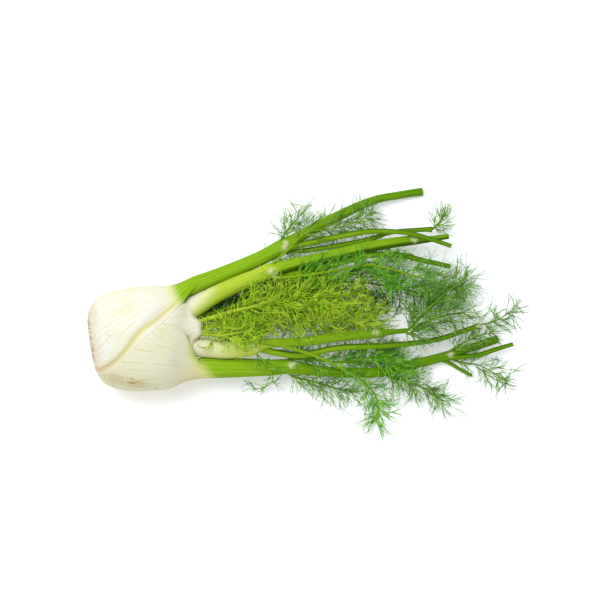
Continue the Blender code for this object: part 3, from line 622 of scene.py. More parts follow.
    # Veins and ribs stand slightly proud, and the skin is faintly pitted.
    relief = sums(tree, "MULTIPLY_ADD", line, 0.3, sums(tree, "MULTIPLY", ridge, green))
    relief = sums(tree, "MULTIPLY_ADD", groove, sums(tree, "MULTIPLY", green, -0.6), relief)
    relief = sums(tree, "MULTIPLY_ADD", fine, 0.4, relief)
    bump = put(tree, "Bump", Strength=0.6, Distance=0.0004)
    tree.links.new(relief, bump.inputs["Height"])
    tree.links.new(bump.outputs[0], shader.inputs["Normal"])
    return made


upper_leaf = outer_leaf(
    "leaf_upper", 0.0, upper_span, upper_depths, upper_vein, UPPER_ROUTE, 1, BLEND_TO, UPPER_KNOTS
)
# A yellow fleck at the foot, pale green scuffs, and a scratch that has healed green: the place,
# the size, how strong it is and its colour.
SCUFF, SCRATCH = paint(226, 234, 160), paint(176, 196, 110)
UPPER_MARKS = (
    ((-43.6, -10.3), 1.2, 0.9, paint(214, 186, 60)),
    ((10.0, 41.0), 1.6, 0.7, SCUFF),
    ((6.5, 42.0), 0.9, 0.8, SCUFF),
    ((-16.3, 23.5), 2.2, 0.45, SCUFF),
    ((-4.8, 32.1), 1.5, 0.45, SCUFF),
    ((-28.0, 2.6), 0.7, 0.9, SCRATCH),
    ((-30.2, 3.4), 0.5, 0.8, SCRATCH),
    ((-31.6, -0.2), 0.5, 0.7, SCRATCH),
    ((-29.4, -4.2), 0.6, 0.8, SCRATCH),
)
upper_leaf.data.materials.append(
    leaf_skin("upper leaf skin", (31.5, 38.0), 0.010, slant=0.6, fold=0.8, marks=UPPER_MARKS)
)
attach(upper_leaf, "root")
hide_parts("sheath_upper", "stalk_upper")


# The lower leaf
# The second leaf, tucked under the margin of the first, wraps the near side of the bulb and
# gathers into the broadest stalk, which runs on to a cut and forked tip.

LOWER_ROUTE = (
    (8.0, -30.0, 32.0, 22.0),
    (36.0, -27.6, 31.5, 20.0),
    (50.4, -26.2, 30.5, 19.4),
    (72.9, -26.5, 28.0, 18.0),
    (92.7, -26.6, 26.0, 16.4),
    (113.4, -26.6, 24.0, 14.4),
    (130.5, -26.0, 22.5, 13.2),
    (151.2, -29.2, 20.0, 9.4),
    (177.3, -31.2, 17.0, 9.0),
    (214.2, -31.0, 12.5, 8.8),
    (243.9, -24.0, 9.2, 8.6),
    (269.1, -17.8, 6.6, 8.2),
    (297.9, -8.6, 4.9, 7.4),
    (320.4, -1.4, 3.7, 7.0),
)
LOWER_SET_IN = 2.2
LOWER_BLEND_TO = 60.0
LOWER_KNOTS = ((132.0, -24.5, 28.5), (136.0, -22.0, 27.0), (277.0, -15.0, 10.0))
# The bruise on the near flank, which is tan all along, the yellow torn spot where the leaf meets
# the heart, and brown flecks by its foot, its far end and the upper leaf's margin.
BRUISE = paint(204, 184, 128)
LOWER_MARKS = (
    ((-26.0, -36.0), 10.0, 0.7, paint(218, 202, 156)),
    ((-6.0, -41.0), 9.0, 0.6, paint(208, 196, 140)),
    ((-9.0, -36.0), 2.4, 0.8, BRUISE),
    ((-9.0, -39.5), 2.6, 0.9, paint(194, 164, 96)),
    ((-4.0, -38.5), 1.8, 0.7, BRUISE),
    ((-29.5, -42.0), 0.7, 1.0, BROWN),
    ((12.5, -45.0), 0.6, 1.0, BROWN),
    ((42.6, -2.4), 1.1, 0.9, paint(212, 192, 80)),
    ((41.4, -3.6), 0.6, 0.8, paint(176, 140, 60)),
    ((10.5, 5.2), 0.8, 0.6, paint(196, 190, 120)),
    ((-8.8, -13.0), 0.7, 0.6, paint(196, 190, 120)),
    ((-16.3, -20.6), 0.7, 0.6, paint(196, 186, 120)),
)

lower_leaf = outer_leaf(
    "leaf_lower", LOWER_SET_IN, lower_span, lower_depths, lower_vein, LOWER_ROUTE, -1, LOWER_BLEND_TO,
    LOWER_KNOTS,
)
lower_leaf.data.materials.append(leaf_skin(
    "lower leaf skin", (54.5, -26.0), 0.014, slant=0.85, count=22.0, width=0.26, strength=0.85,
    deepen=(0.08, 0.18), buff=0.4, sprout=(0.034, 0.048), marks=LOWER_MARKS,
))
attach(lower_leaf, "root")
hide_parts("sheath_lower", "stalk_lower")


# The middle and inner stalks
# Two more leaves come out of the heart, pale at the foot and green further on. At their knots
# they fork into thinner stems, some cut off, as when the grower trims the fronds.

MIDDLE_ROUTE = (
    (22.0, 15.0, 33.0, 24.0),
    (34.0, 21.2, 36.0, 21.5),
    (44.0, 26.8, 37.0, 19.0),
    (52.0, 31.4, 37.0, 17.2),
    (66.6, 40.2, 36.2, 15.6),
    (87.3, 49.7, 35.0, 14.4),
    (103.5, 56.1, 34.0, 13.4),
    (113.4, 60.3, 33.5, 14.0),
    (140.4, 67.2, 31.5, 11.2),
    (177.3, 76.0, 28.5, 10.6),
    (204.3, 82.4, 26.5, 10.0),
    (232.2, 86.9, 24.8, 9.0),
    (243.0, 88.2, 24.2, 8.8),
    (257.4, 89.1, 23.2, 5.6),
    (274.5, 91.8, 22.0, 4.8),
)
INNER_ROUTE = (
    (30.0, -7.0, 30.0, 22.0),
    (42.0, -7.8, 33.0, 18.0),
    (50.6, -8.4, 34.5, 17.2),
    (72.9, -10.0, 35.5, 16.8),
    (90.9, -9.2, 36.0, 15.2),
    (99.0, -7.8, 36.0, 14.6),
    (112.0, -4.6, 35.5, 8.8),
    (142.2, -3.4, 33.5, 8.4),
    (177.3, 1.2, 31.0, 8.2),
    (204.3, 3.4, 29.5, 7.8),
    (209.4, 4.4, 29.0, 8.4),
    (224.1, 5.6, 28.0, 4.8),
    (236.7, 6.6, 27.0, 4.4),
)
MIDDLE_KNOTS = ((114.5, 60.5, 40.0), (118.0, 57.0, 39.0), (243.5, 87.5, 28.5))
INNER_KNOTS = ((97.0, -7.2, 42.0), (101.0, -9.5, 41.0), (208.5, 5.4, 33.0))
STALK_POINTS = 96
# Where these stalks' ribs and the keel rise: the start and the length.
RIBS_RISE, KEEL_RISES = (60.0, 50.0), (112.0, 24.0)
# The keel's ridge and the hollow beside it: the angle round the stalk, and the spread.
KEEL_RIDGE, KEEL_HOLLOW = (1.65, 0.30), (2.5, 0.5)


def swelling(angle, middle, spread):
    return math.exp(-(((angle - middle) / spread) ** 2))


def inner_stalk(name, rows, knots, keel=0.0):
    """A stalk out of the heart. keel raises a ridge along its back and hollows its near side."""
    xs = stations(rows[0][0], rows[-1][0], 2.2)
    rings = []
    for x in xs:
        ring = []
        for k in range(STALK_POINTS):
            angle = 2 * math.pi * k / STALK_POINTS
            ribs = 0.025 * math.sin(16 * angle) * eased(x, *RIBS_RISE)
            ridge = swelling(angle, *KEEL_RIDGE) - 0.8 * swelling(angle, *KEEL_HOLLOW)
            swell = 1.0 + ribs + keel * ridge * eased(x, *KEEL_RISES)
            across = abs(1.0 - 2.0 * k / STALK_POINTS)
            ring.append((oval_point(rows, x, angle, 1, swell), across, 20.0, across))
        rings.append(ring)
    cut_end(rings, xs)
    return loft(name, rings, xs, knots, cut=2)


middle_stalk = inner_stalk("middle_leaf_stalk", MIDDLE_ROUTE, MIDDLE_KNOTS, keel=0.20)
# Painted shade darkens the middle stalk's near, lower side past its knot.
middle_stalk.data.materials.append(leaf_skin(
    "middle stalk skin", (55.0, 32.0), 0.014, slant=-0.9, strength=0.3, deepen=(0.16, 0.30), dry=0.0,
    shade=0.85, fresh=0.7,
))
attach(middle_stalk, "root")
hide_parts("stalk_middle")

inner_stalk_piece = inner_stalk("inner_leaf_stalk", INNER_ROUTE, INNER_KNOTS)
inner_stalk_piece.data.materials.append(leaf_skin(
    "inner stalk skin", (82.0, -8.0), 0.060, strength=0.5, deepen=(0.12, 0.24), buff=0.1, dry=0.0,
    fresh=0.8,
))
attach(inner_stalk_piece, "root")
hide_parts("stalk_inner")


# The heart
# The inner leaf bases, packed round the growing point. Their blunt white rim shows between the
# outer stalks, where the young leaves come out, and swells into the roots of the inner stalks.

HEART_START, HEART_END = -38.0, 51.0
# The heart's neck: y of its middle, half its width and half its height.
HEART_NECK = (10.4, 23.5, 14.6)
HEART_POINTS = 128
# Where it narrows from the bulb to the neck and where the lip rises, each with its length, and
# where its end closes.
HEART_NARROWS, LIP_RISES = (30.0, 20.0), (34.0, 16.0)
CLOSE_FROM = 43.0
# The lip: y of its middle, half its width, and how far it stands out and the rest stays back.
LIP_AT, LIP_WIDTH, LIP_OUT, LIP_BACK = 8.6, 9.0, 7.5, 4.6
FILLET = 6.0


def heart_depth(x, angle):
    upper = thickness(x, angle, upper_span(x), full_thickness(x))
    lower = thickness(x, angle, lower_span(x), full_thickness(x))
    upper *= smooth((inside_margin(x, angle, upper_span(x)) + 2.0) / 2.0)
    lower *= smooth((inside_margin(x, angle, lower_span(x)) + 2.0) / 2.0)
    return upper + lower + 2 * LEAF_GAP + margin_fold(x, angle)


def stalk_top(rows, x, y):
    """How high a stalk's upper side is there; it falls away steeply beside the stalk."""
    _, middle, height, width = at_x(rows, x)
    off = (y - middle) / (width / 2)
    rise = math.sqrt(1.0 - off * off) if abs(off) < 0.95 else 0.31 - 3.0 * (abs(off) - 0.95)
    return height + width / 2 * STALK_FLATNESS * rise


def fillet(height, other):
    """The higher of the two, rounded where they meet, and just under the other one's skin."""
    near = max(0.0, FILLET - abs(height - other)) / FILLET
    return max(height, other) + near * near * FILLET / 4 - (0.25 if other > height else 0.0)


def heart_ring(x):
    share = eased(x, *HEART_NARROWS)
    close = max(0.0, 1.0 - max(0.0, (x - CLOSE_FROM) / (HEART_END - CLOSE_FROM)) ** 4) ** 0.4
    ring = []
    for k in range(HEART_POINTS):
        across = k / HEART_POINTS
        angle = 2 * math.pi * across
        shell = bulb_point(x, angle, heart_depth(x, angle))
        neck = Vector((
            x,
            HEART_NECK[0] + HEART_NECK[1] * math.cos(angle),
            AXIS_HEIGHT + 1.0 + HEART_NECK[2] * math.sin(angle),
        ))
        point = shell.lerp(neck, share)
        point = Vector((x, LIP_AT, AXIS_HEIGHT + 2.0)).lerp(point, 0.05 + 0.95 * close)
        lip = math.exp(-(abs((point.y - LIP_AT) / LIP_WIDTH) ** 4.0)) * LIP_OUT - LIP_BACK
        point.x += lip * eased(x, *LIP_RISES)
        if x > LIP_RISES[0] and math.sin(angle) > 0.1:
            for rows in (MIDDLE_ROUTE, INNER_ROUTE):
                point.z = fillet(point.z, stalk_top(rows, round(point.x, 2), point.y))
        ring.append((point, abs(2.0 * across - 1.0), 20.0, across))
    return ring


heart_xs = stations(HEART_START, LIP_RISES[0], 1.8) + stations(LIP_RISES[0] + 0.5, CLOSE_FROM, 0.9)
heart_xs += [43.8, 44.6, 45.4, 46.2, 47.0, 47.8, 48.5, 49.2, 49.8, 50.3, 50.7, HEART_END]
heart = loft("heart_core", [heart_ring(x) for x in heart_xs], heart_xs)
heart.data.materials.append(
    leaf_skin("heart skin", (200.0, 0.0), 0.02, count=40.0, strength=0.45, buff=0.3, dry=0.0)
)
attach(heart, "root")
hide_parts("heart")


# The side stems
# Thinner stems that fork off at the knots, most of them cut across and pale at the cut.

SIDE_STEMS = (
    ("side_stem_upper", (
        (118.0, 79.0, 24.5, 6.6), (126.9, 81.0, 25.0, 6.2), (140.4, 84.0, 25.0, 5.8),
        (177.3, 91.9, 25.0, 5.4), (204.3, 96.1, 25.5, 4.8), (232.2, 95.2, 28.5, 4.4),
        (250.2, 91.4, 31.5, 4.0), (276.3, 82.8, 30.0, 3.9),
    )),
    ("side_stem_under", (
        (118.0, 78.0, 22.5, 5.4), (128.0, 78.4, 20.0, 4.8), (145.0, 79.0, 18.5, 4.6),
        (173.7, 83.3, 17.5, 4.5), (204.3, 89.6, 16.5, 4.4), (223.2, 95.6, 15.0, 4.3),
        (252.0, 98.0, 13.4, 4.3), (260.0, 98.1, 13.0, 5.4),
    )),
    ("side_stem_middle", (
        (108.0, 57.4, 32.5, 7.0), (118.0, 58.2, 31.5, 6.4), (140.4, 59.0, 28.5, 6.4),
        (177.3, 68.2, 25.5, 6.2), (204.3, 75.0, 22.5, 5.6), (232.2, 74.6, 20.0, 5.0),
        (250.2, 70.4, 18.0, 4.6), (276.3, 64.6, 15.0, 4.4),
    )),
    ("side_stem_inner", (
        (94.0, -7.4, 34.5, 7.0), (104.0, -9.4, 33.5, 6.4), (118.8, -13.0, 31.5, 6.0),
        (140.4, -15.3, 29.5, 5.8), (168.3, -10.0, 27.5, 5.8), (186.3, -8.1, 25.5, 5.7),
        (214.2, -7.2, 22.5, 5.4), (245.7, -4.5, 18.5, 5.0), (269.1, -0.4, 15.5, 4.7),
        (286.7, 5.4, 13.0, 4.5), (299.0, 9.4, 11.0, 4.8), (303.3, 10.8, 10.5, 6.0),
    )),
    ("side_stem_tip", (
        (262.0, -19.6, 7.0, 6.0), (270.0, -18.6, 7.4, 5.2), (282.6, -17.9, 8.0, 4.8),
        (302.4, -15.8, 9.0, 4.6), (317.7, -10.8, 10.0, 4.3), (333.9, -5.9, 10.5, 3.6),
    )),
    ("side_stem_fork", (
        (264.0, -19.0, 6.4, 5.0), (270.0, -20.4, 5.8, 4.0), (278.1, -24.0, 4.6, 3.4),
        (286.2, -29.0, 3.4, 3.2), (297.0, -34.7, 2.4, 2.8),
    )),
)
# Besides the stalks' knots, one stem's far end and the young fronds' own joints are pale.
STEM_KNOTS = (
    *UPPER_KNOTS, *LOWER_KNOTS, *MIDDLE_KNOTS, *INNER_KNOTS, (303.3, 10.8, 12.5),
    (98.1, 28.4, 44.0), (103.5, 21.5, 36.5), (117.9, 33.7, 42.5),
)


def route_points(rows, step):
    """Points and radii along a route of x, y, z and diameter, about a step apart."""
    fine = np.array([through(rows, i / 8) for i in range(8 * (len(rows) - 1) + 1)])
    lengths = np.concatenate([[0.0], np.cumsum(np.linalg.norm(np.diff(fine[:, :3], axis=0), axis=1))])
    wanted = np.linspace(0, lengths[-1], max(3, round(lengths[-1] / step) + 1))
    spots = np.array([np.interp(wanted, lengths, fine[:, c]) for c in range(4)]).T
    return [Vector(s[:3]) for s in spots], [s[3] / 2 for s in spots]


def stem_piece(name, rows, step, sides, ribs=0.0):
    """A thin stem along the route, cut across at its end."""
    points, radii = route_points(rows, step)
    rings, alongs = [], [p.x for p in points]
    for i, point in enumerate(points):
        before, after = points[max(0, i - 1)], points[min(len(points) - 1, i + 1)]
        along = (after - before).normalized()
        side = along.cross(Vector((0.0, 0.12, 1.0))).normalized()
        up = side.cross(along)
        ring = []
        for k in range(sides):
            angle = 2 * math.pi * k / sides
            radius = radii[i] * (1.0 + ribs * math.sin(8 * angle))
            way = side * math.cos(angle) + up * math.sin(angle)
            across = abs(1.0 - 2.0 * k / sides)
            ring.append((point + way * radius, across, 20.0, across))
        rings.append(ring)
    cut_end(rings, alongs)
    made = loft(name, rings, alongs, STEM_KNOTS, cut=2)
    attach(made, "root")
    return made


# Painted shade darkens the side stems' near, lower side.
side_skin = leaf_skin("side stem skin", (0.0, 0.0), 0.01, deepen=(0.14, 0.28), dry=0.0, shade=0.8)
for name, rows in SIDE_STEMS:
    stem_piece(name, rows, 2.6, 32, ribs=0.05).data.materials.append(side_skin)


# The fronds
# Each leaf stem ends in a feathery frond: pinnae on both sides of it, forked again and again
# into soft curling threads less than a millimetre thick.

# Name, tone, route, first pinna's share of the route, pinnae, their length, the threads'
# length, and the spread in degrees.
FRONDS = (
    ("frond_young_upper", "young", (
        (44.0, 12.0, 34.0, 4.8), (51.0, 15.0, 40.0, 4.4), (75.6, 22.5, 45.5, 3.8),
        (98.1, 28.4, 46.5, 3.0), (117.9, 33.7, 45.0, 2.2), (140.4, 36.0, 41.5, 1.8),
        (167.4, 36.9, 37.0, 1.6), (194.4, 39.6, 33.0, 1.0),
    ), 0.32, 66, 24.0, 17.0, 50.0),
    ("frond_young_middle", "young", (
        (44.0, 9.0, 31.0, 5.6), (51.0, 9.0, 33.0, 5.2), (83.7, 17.0, 34.0, 4.8),
        (103.5, 21.5, 34.0, 4.4), (131.4, 20.6, 33.0, 2.4), (158.4, 17.0, 31.0, 2.0),
        (185.4, 14.6, 29.0, 1.6), (210.0, 18.0, 26.0, 1.0),
    ), 0.20, 82, 27.0, 17.0, 60.0),
    ("frond_young_short", "young", (
        (44.0, 4.0, 36.0, 2.8), (51.0, 4.0, 42.0, 2.6), (70.2, 2.6, 47.0, 2.4),
        (86.4, 5.4, 48.0, 2.0), (101.0, 7.0, 47.0, 1.2),
    ), 0.20, 40, 20.0, 14.0, 60.0),
    ("frond_young_under", "under", (
        (44.0, 18.0, 29.0, 3.2), (51.0, 20.0, 29.0, 3.2), (75.0, 27.0, 25.5, 3.0),
        (100.0, 36.0, 21.0, 2.6), (130.0, 43.0, 16.0, 2.2), (160.0, 46.0, 12.0, 1.6),
    ), 0.16, 88, 32.0, 14.0, 50.0),
    ("frond_middle_long", "green", (
        (108.0, 57.0, 33.0, 3.4), (119.0, 54.0, 37.0, 3.0), (140.4, 55.8, 39.5, 2.6),
        (168.3, 60.0, 38.5, 2.4), (198.9, 65.6, 35.5, 2.2), (213.3, 64.0, 33.0, 2.0),
        (236.7, 58.0, 29.0, 1.8), (262.0, 50.0, 23.0, 1.6), (284.0, 42.0, 16.0, 1.2),
    ), 0.20, 56, 28.0, 18.0, 45.0),
    ("frond_middle_low", "under", (
        (108.0, 58.0, 30.0, 3.0), (116.0, 50.5, 26.0, 2.6), (140.0, 47.0, 23.0, 2.4),
        (170.0, 50.0, 17.0, 2.2), (200.0, 50.0, 12.0, 2.0), (232.0, 44.0, 8.0, 1.8),
        (262.0, 36.0, 5.0, 1.4),
    ), 0.20, 40, 30.0, 14.0, 40.0),
    ("frond_cross_over", "dark", (
        (112.0, 61.0, 34.0, 2.8), (118.0, 68.8, 37.4, 2.2), (131.0, 80.5, 36.0, 1.8),
        (146.0, 95.0, 30.5, 1.5), (167.4, 98.0, 25.0, 1.2), (190.0, 104.0, 22.0, 1.0),
        (206.0, 111.0, 22.0, 0.8),
    ), 0.34, 14, 20.0, 17.0, 60.0),
    ("frond_upper_edge", "dark", (
        (121.0, 82.0, 26.0, 2.8), (124.0, 89.6, 27.5, 1.8), (128.0, 96.0, 26.0, 1.4),
        (136.0, 106.0, 21.0, 1.2), (147.0, 118.0, 15.0, 0.8),
    ), 0.15, 10, 16.0, 16.0, 60.0),
    ("frond_upper_tip", "dark", (
        (259.0, 98.0, 13.0, 3.0), (262.0, 99.6, 13.5, 2.0), (268.0, 106.0, 13.0, 1.6),
        (272.0, 114.0, 12.0, 1.0),
    ), 0.05, 10, 13.0, 11.0, 60.0),
    ("frond_right_upper", "dark", (
        (235.0, 6.4, 27.0, 3.0), (239.0, 8.0, 27.0, 2.6), (250.0, 20.0, 28.0, 2.4),
        (262.0, 32.0, 28.0, 2.2), (276.0, 44.0, 25.0, 1.8), (290.0, 50.0, 21.0, 1.2),
    ), 0.08, 28, 26.0, 18.0, 60.0),
    ("frond_right_lower", "dark", (
        (235.0, 6.0, 27.0, 3.0), (239.5, 4.0, 26.5, 2.6), (253.0, 14.0, 22.0, 2.4),
        (271.0, 20.0, 17.0, 2.0), (290.0, 23.0, 13.0, 1.4),
    ), 0.08, 21, 22.0, 17.0, 50.0),
    ("frond_tip_upper", "dark", (
        (302.0, 10.6, 10.5, 2.8), (306.0, 12.4, 10.5, 1.6), (316.0, 14.0, 9.0, 1.2),
        (325.0, 19.0, 7.0, 1.0), (336.0, 26.0, 5.0, 0.8),
    ), 0.05, 10, 14.0, 15.0, 40.0),
    ("frond_tip_middle", "dark", (
        (277.0, -12.0, 9.5, 2.4), (283.0, -8.0, 13.5, 1.8), (296.0, -1.0, 14.0, 1.4),
        (310.0, 4.0, 11.0, 1.0),
    ), 0.15, 15, 14.0, 13.0, 45.0),
    ("frond_tip_lower", "dark", (
        (278.0, -19.0, 6.0, 2.4), (287.0, -22.5, 6.0, 1.6), (303.0, -25.0, 5.0, 1.2),
        (318.0, -33.0, 3.6, 1.0), (330.0, -42.0, 2.6, 0.8),
    ), 0.15, 13, 15.0, 15.0, 30.0),
    ("frond_low_right", "dark", (
        (218.0, -33.0, 12.5, 2.6), (224.0, -36.5, 11.5, 2.2), (240.0, -40.0, 11.0, 2.0),
        (256.0, -48.0, 9.0, 1.6), (272.0, -58.0, 6.0, 1.2),
    ), 0.12, 24, 18.0, 15.0, 50.0),
    ("frond_low_long", "green", (
        (98.0, -6.0, 38.0, 3.6), (108.0, -3.6, 41.5, 3.0), (126.9, -7.6, 42.0, 2.8),
        (155.0, -16.2, 38.0, 2.6), (179.0, -28.2, 26.5, 2.2), (195.3, -38.0, 19.0, 1.8),
        (207.9, -50.6, 10.0, 1.6), (212.4, -64.8, 4.5, 1.4), (209.7, -77.4, 3.0, 1.0),
    ), 0.48, 26, 16.0, 14.0, 48.0),
    ("frond_low_left", "dark", (
        (128.0, -29.0, 21.0, 2.8), (133.0, -34.5, 18.0, 2.2), (145.0, -38.0, 14.0, 1.8),
        (162.9, -43.0, 9.0, 1.6), (177.3, -47.5, 5.5, 1.4), (190.0, -50.0, 4.0, 1.0),
    ), 0.15, 22, 17.0, 15.0, 45.0),
    ("frond_low_small", "green", (
        (97.0, -9.0, 35.0, 2.6), (101.0, -14.5, 34.0, 1.6), (109.0, -21.6, 34.5, 1.4),
        (116.0, -34.8, 30.0, 1.2), (111.0, -43.5, 13.0, 1.0), (97.0, -48.0, 5.0, 0.8),
    ), 0.20, 9, 10.0, 10.0, 40.0),
    ("frond_low_thin", "green", (
        (130.0, -22.0, 24.0, 2.8), (137.0, -18.0, 24.5, 2.4), (177.3, -22.0, 24.0, 2.0),
        (206.6, -17.4, 18.5, 1.8), (222.0, -18.5, 18.0, 1.6), (238.0, -34.0, 17.0, 1.0),
    ), 0.15, 46, 19.0, 14.0, 60.0),
)
# Half a thread's thickness at its root and at its tip in each tone, and how much it curls.
THREAD_SIZES = {
    "young": (0.43, 0.24, 0.19),
    "green": (0.39, 0.21, 0.15),
    "dark": (0.36, 0.19, 0.12),
    "under": (0.46, 0.26, 0.18),
}
# The thickest fronds have a lower layer: how many more pinnae, how far below the stem, and the
# first one's share of the route.
LOWER_LAYERS = {
    "frond_low_thin": (50, 13.0, 0.02),
    "frond_cross_over": (26, 9.0, 0.04),
    "frond_young_middle": (34, 14.0, 0.30),
    "frond_young_short": (26, 16.0, 0.45),
}
# A strand that would have to move further than this to clear a stalk is left out.
FAR_PUSH = 1.8
STALK_CLEARANCE = 0.7
# How high the lowest threads lie over the table, and how much that varies.
TABLE_CLEARANCE, TABLE_RIPPLE = 0.7, 0.4
# How much thicker a pinna's axis is than its threads, and how far it hangs, in degrees.
PINNA_SWELL, PINNA_DROOP = 1.4, 18.0
# The angles of a pinna to its stem, a branch to its pinna, and a fork to its branch.
PINNA_ANGLES, BRANCH_ANGLES, FORK_ANGLES = (24.0, 58.0), (12.0, 42.0), (14.0, 34.0)
BRANCH_SPACING = 4.0
FORK_SHARE = 0.7
SIDE_ROUTES = [rows for _, rows in SIDE_STEMS]
STALK_ROUTES = (UPPER_ROUTE, LOWER_ROUTE, MIDDLE_ROUTE, INNER_ROUTE, *SIDE_ROUTES)


def side_of(along, roll):
    level = Vector((0, 0, 1)).cross(along)
    level = level.normalized() if level.length > 1e-6 else Vector((0, 1, 0))
    return level * math.cos(roll) + along.cross(level) * math.sin(roll)


def leaning(along, side, degrees):
    lean = math.radians(degrees)
    return (along * math.cos(lean) + side * math.sin(lean)).normalized()


def strand(draw, root, way, length, steps, thick, thin, curl):
    """A thread that curls one way along its length: its points and radii."""
    axis = Vector((draw.gauss(0, 0.35), draw.gauss(0, 0.35), 1.0)) * draw.gauss(0, curl)
    points = [root.copy()]
    for _ in range(steps):
        points.append(points[-1] + way * (length / steps))
        way = (way + axis.cross(way)).normalized()
    return points, [thick + (thin - thick) * k / steps for k in range(steps + 1)]


def grow_pinna(draw, root, way, length, thread, sizes):
    """A pinna: its axis, the branches along it, and the threads that they fork into."""
    thick, thin, curl = sizes
    axis = strand(draw, root, way, length, 6, thick * PINNA_SWELL, thick, curl * 0.6)
    strands = [axis]
    branches = max(2, round(length / BRANCH_SPACING))
    for b in range(branches):
        share = 0.12 + 0.86 * b / branches
        i = min(5, int(share * 6))
        spot_on = axis[0][i].lerp(axis[0][i + 1], share * 6 - i)
        along = (axis[0][i + 1] - axis[0][i]).normalized()
        for turn in (0.0, math.pi):
            side = side_of(along, turn + draw.gauss(0, 0.8))
            size = thread * (1.3 - 0.5 * share) * draw.uniform(0.6, 1.35)
            way_out = leaning(along, side, draw.uniform(*BRANCH_ANGLES))
            branch = strand(draw, spot_on, way_out, size, 6, thick, thin, curl)
            strands.append(branch)
            if draw.random() < FORK_SHARE:
                fork = draw.randint(1, 3)
                way_on = (branch[0][fork + 1] - branch[0][fork]).normalized()
                aside = side_of(way_on, draw.uniform(0, 2 * math.pi))
                strands.append(strand(
                    draw, branch[0][fork], leaning(way_on, aside, draw.uniform(*FORK_ANGLES)),
                    size * draw.uniform(0.45, 0.8), 4, thick * 0.9, thin, curl * 1.3,
                ))
    return strands


def grow_frond(rows, first, count, reach, thread, spread, sizes, draw):
    strands = []
    last = len(rows) - 1
    for k in range(count):
        share = first + (1.0 - first) * (k + draw.uniform(0.2, 0.8)) / count
        here, ahead = through(rows, share * last), through(rows, min(1.0, share + 0.01) * last)
        if share < 0.985:
            along = Vector(ahead[:3] - here[:3]).normalized()
        turn = -PINNA_DROOP if k % 2 else 180.0 + PINNA_DROOP
        side = side_of(along, math.radians(turn + draw.uniform(-spread, spread)))
        # Pinnae are longest just short of the middle of the frond.
        shorter = 0.5 * abs(2 * (share - first) / (1 - first) - 0.9)
        size = reach * (1.0 - shorter) * draw.uniform(0.7, 1.1)
        way = leaning(along, side, draw.uniform(*PINNA_ANGLES))
        strands += grow_pinna(draw, Vector(here[:3]), way, size, thread, sizes)
    return strands


def keep_clear(strands):
    """Moves the strands' points out of the stalks, so that threads drape over them, and up off
    the table."""
    starts, ends, sizes = [], [], []
    for rows in STALK_ROUTES:
        points, radii = route_points(rows, 9.0)
        starts += [p[:] for p in points[:-1]]
        ends += [p[:] for p in points[1:]]
        sizes += [max(a, b) for a, b in zip(radii, radii[1:])]
    starts, ends, sizes = np.array(starts), np.array(ends), np.array(sizes) + STALK_CLEARANCE
    cloud = np.array([p[:] for points, _ in strands for p in points])
    grown = cloud.copy()
    for start, end, size in zip(starts, ends, sizes):
        line = end - start
        share = np.clip(((cloud - start) @ line) / (line @ line), 0.0, 1.0)
        away = cloud - (start + share[:, None] * line)
        gap = np.linalg.norm(away, axis=1)
        near = gap < size
        lift = away[near] / np.maximum(gap[near], 1e-3)[:, None]
        cloud[near] += lift * (size - gap[near])[:, None]
    pushed = np.linalg.norm(cloud - grown, axis=1)
    ripple = TABLE_RIPPLE * np.abs(np.sin(cloud[:, 0] * 3.1 + cloud[:, 1] * 2.3))
    cloud[:, 2] = np.maximum(cloud[:, 2], TABLE_CLEARANCE + ripple)
    moved, at = [], 0
    for points, radii in strands:
        if pushed[at:at + len(points)].max() < FAR_PUSH:
            moved.append((cloud[at:at + len(points)], radii))
        at += len(points)
    return moved


def strands_piece(name, strands, shades, sides=3):
    """The strands as one mesh of thin tapering tubes, swept from a small round profile."""
    ring = bpy.data.curves.new(name + "_ring", "CURVE")
    ring.dimensions = "3D"
    loop = ring.splines.new("POLY")
    loop.points.add(sides - 1)
    for k, point in enumerate(loop.points):
        angle = -2 * math.pi * k / sides
        point.co = (MM * math.cos(angle), MM * math.sin(angle), 0.0, 1.0)
    loop.use_cyclic_u = True
    ring_object = bpy.data.objects.new(name + "_ring", ring)
    bpy.context.scene.collection.objects.link(ring_object)
    sweep = bpy.data.curves.new(name, "CURVE")
    sweep.dimensions = "3D"
    sweep.bevel_mode = "OBJECT"
    sweep.bevel_object = ring_object
    sweep.use_fill_caps = True
    for (points, radii), shade in zip(strands, shades):
        spline = sweep.splines.new("POLY")
        spline.points.add(len(points) - 1)
        places = np.ones((len(points), 4))
        places[:, :3] = np.array([p[:] for p in points]) * MM
        spline.points.foreach_set("co", places.ravel())
        spline.points.foreach_set("radius", radii)
        spline.material_index = shade
    swept = bpy.data.objects.new(name + "_sweep", sweep)
    bpy.context.scene.collection.objects.link(swept)
    for _ in range(max(shades) + 1):
        sweep.materials.append(None)
    graph = bpy.context.evaluated_depsgraph_get()
    mesh = bpy.data.meshes.new_from_object(swept.evaluated_get(graph))
    for spare in (swept, ring_object):
        bpy.data.objects.remove(spare, do_unlink=True)
    # The sweep leaves each end cap loose; this joins it to its tube.
    shape = bmesh.new()
    shape.from_mesh(mesh)
    bpy.data.meshes.remove(mesh)
    bmesh.ops.remove_doubles(shape, verts=shape.verts, dist=1e-7)
    return finished(name, shape)


def thread_skin(name, tint, other):
    """Soft thin green threads, whose tint drifts from clump to clump, with patches of painted shade for
    the darker hollows.
    """
    made, tree, shader, place = skin(name, 0.5)
    colour = blend(tree, ramp(tree, noise(tree, place, 90.0), 0.38, 0.62), tint, other)
    # Painted shade: patches of noise darken the threads for the hollows of the frond.
    hollow = sums(tree, "MULTIPLY", ramp(tree, noise(tree, place, 150.0, 1.0), 0.50, 0.62), 0.5)
    colour = blend(tree, hollow, colour, PAINTED_HOLLOW_SHADE)
    tree.links.new(colour, shader.inputs["Base Color"])
    return made


PAINTED_HOLLOW_SHADE = paint(40, 92, 14)
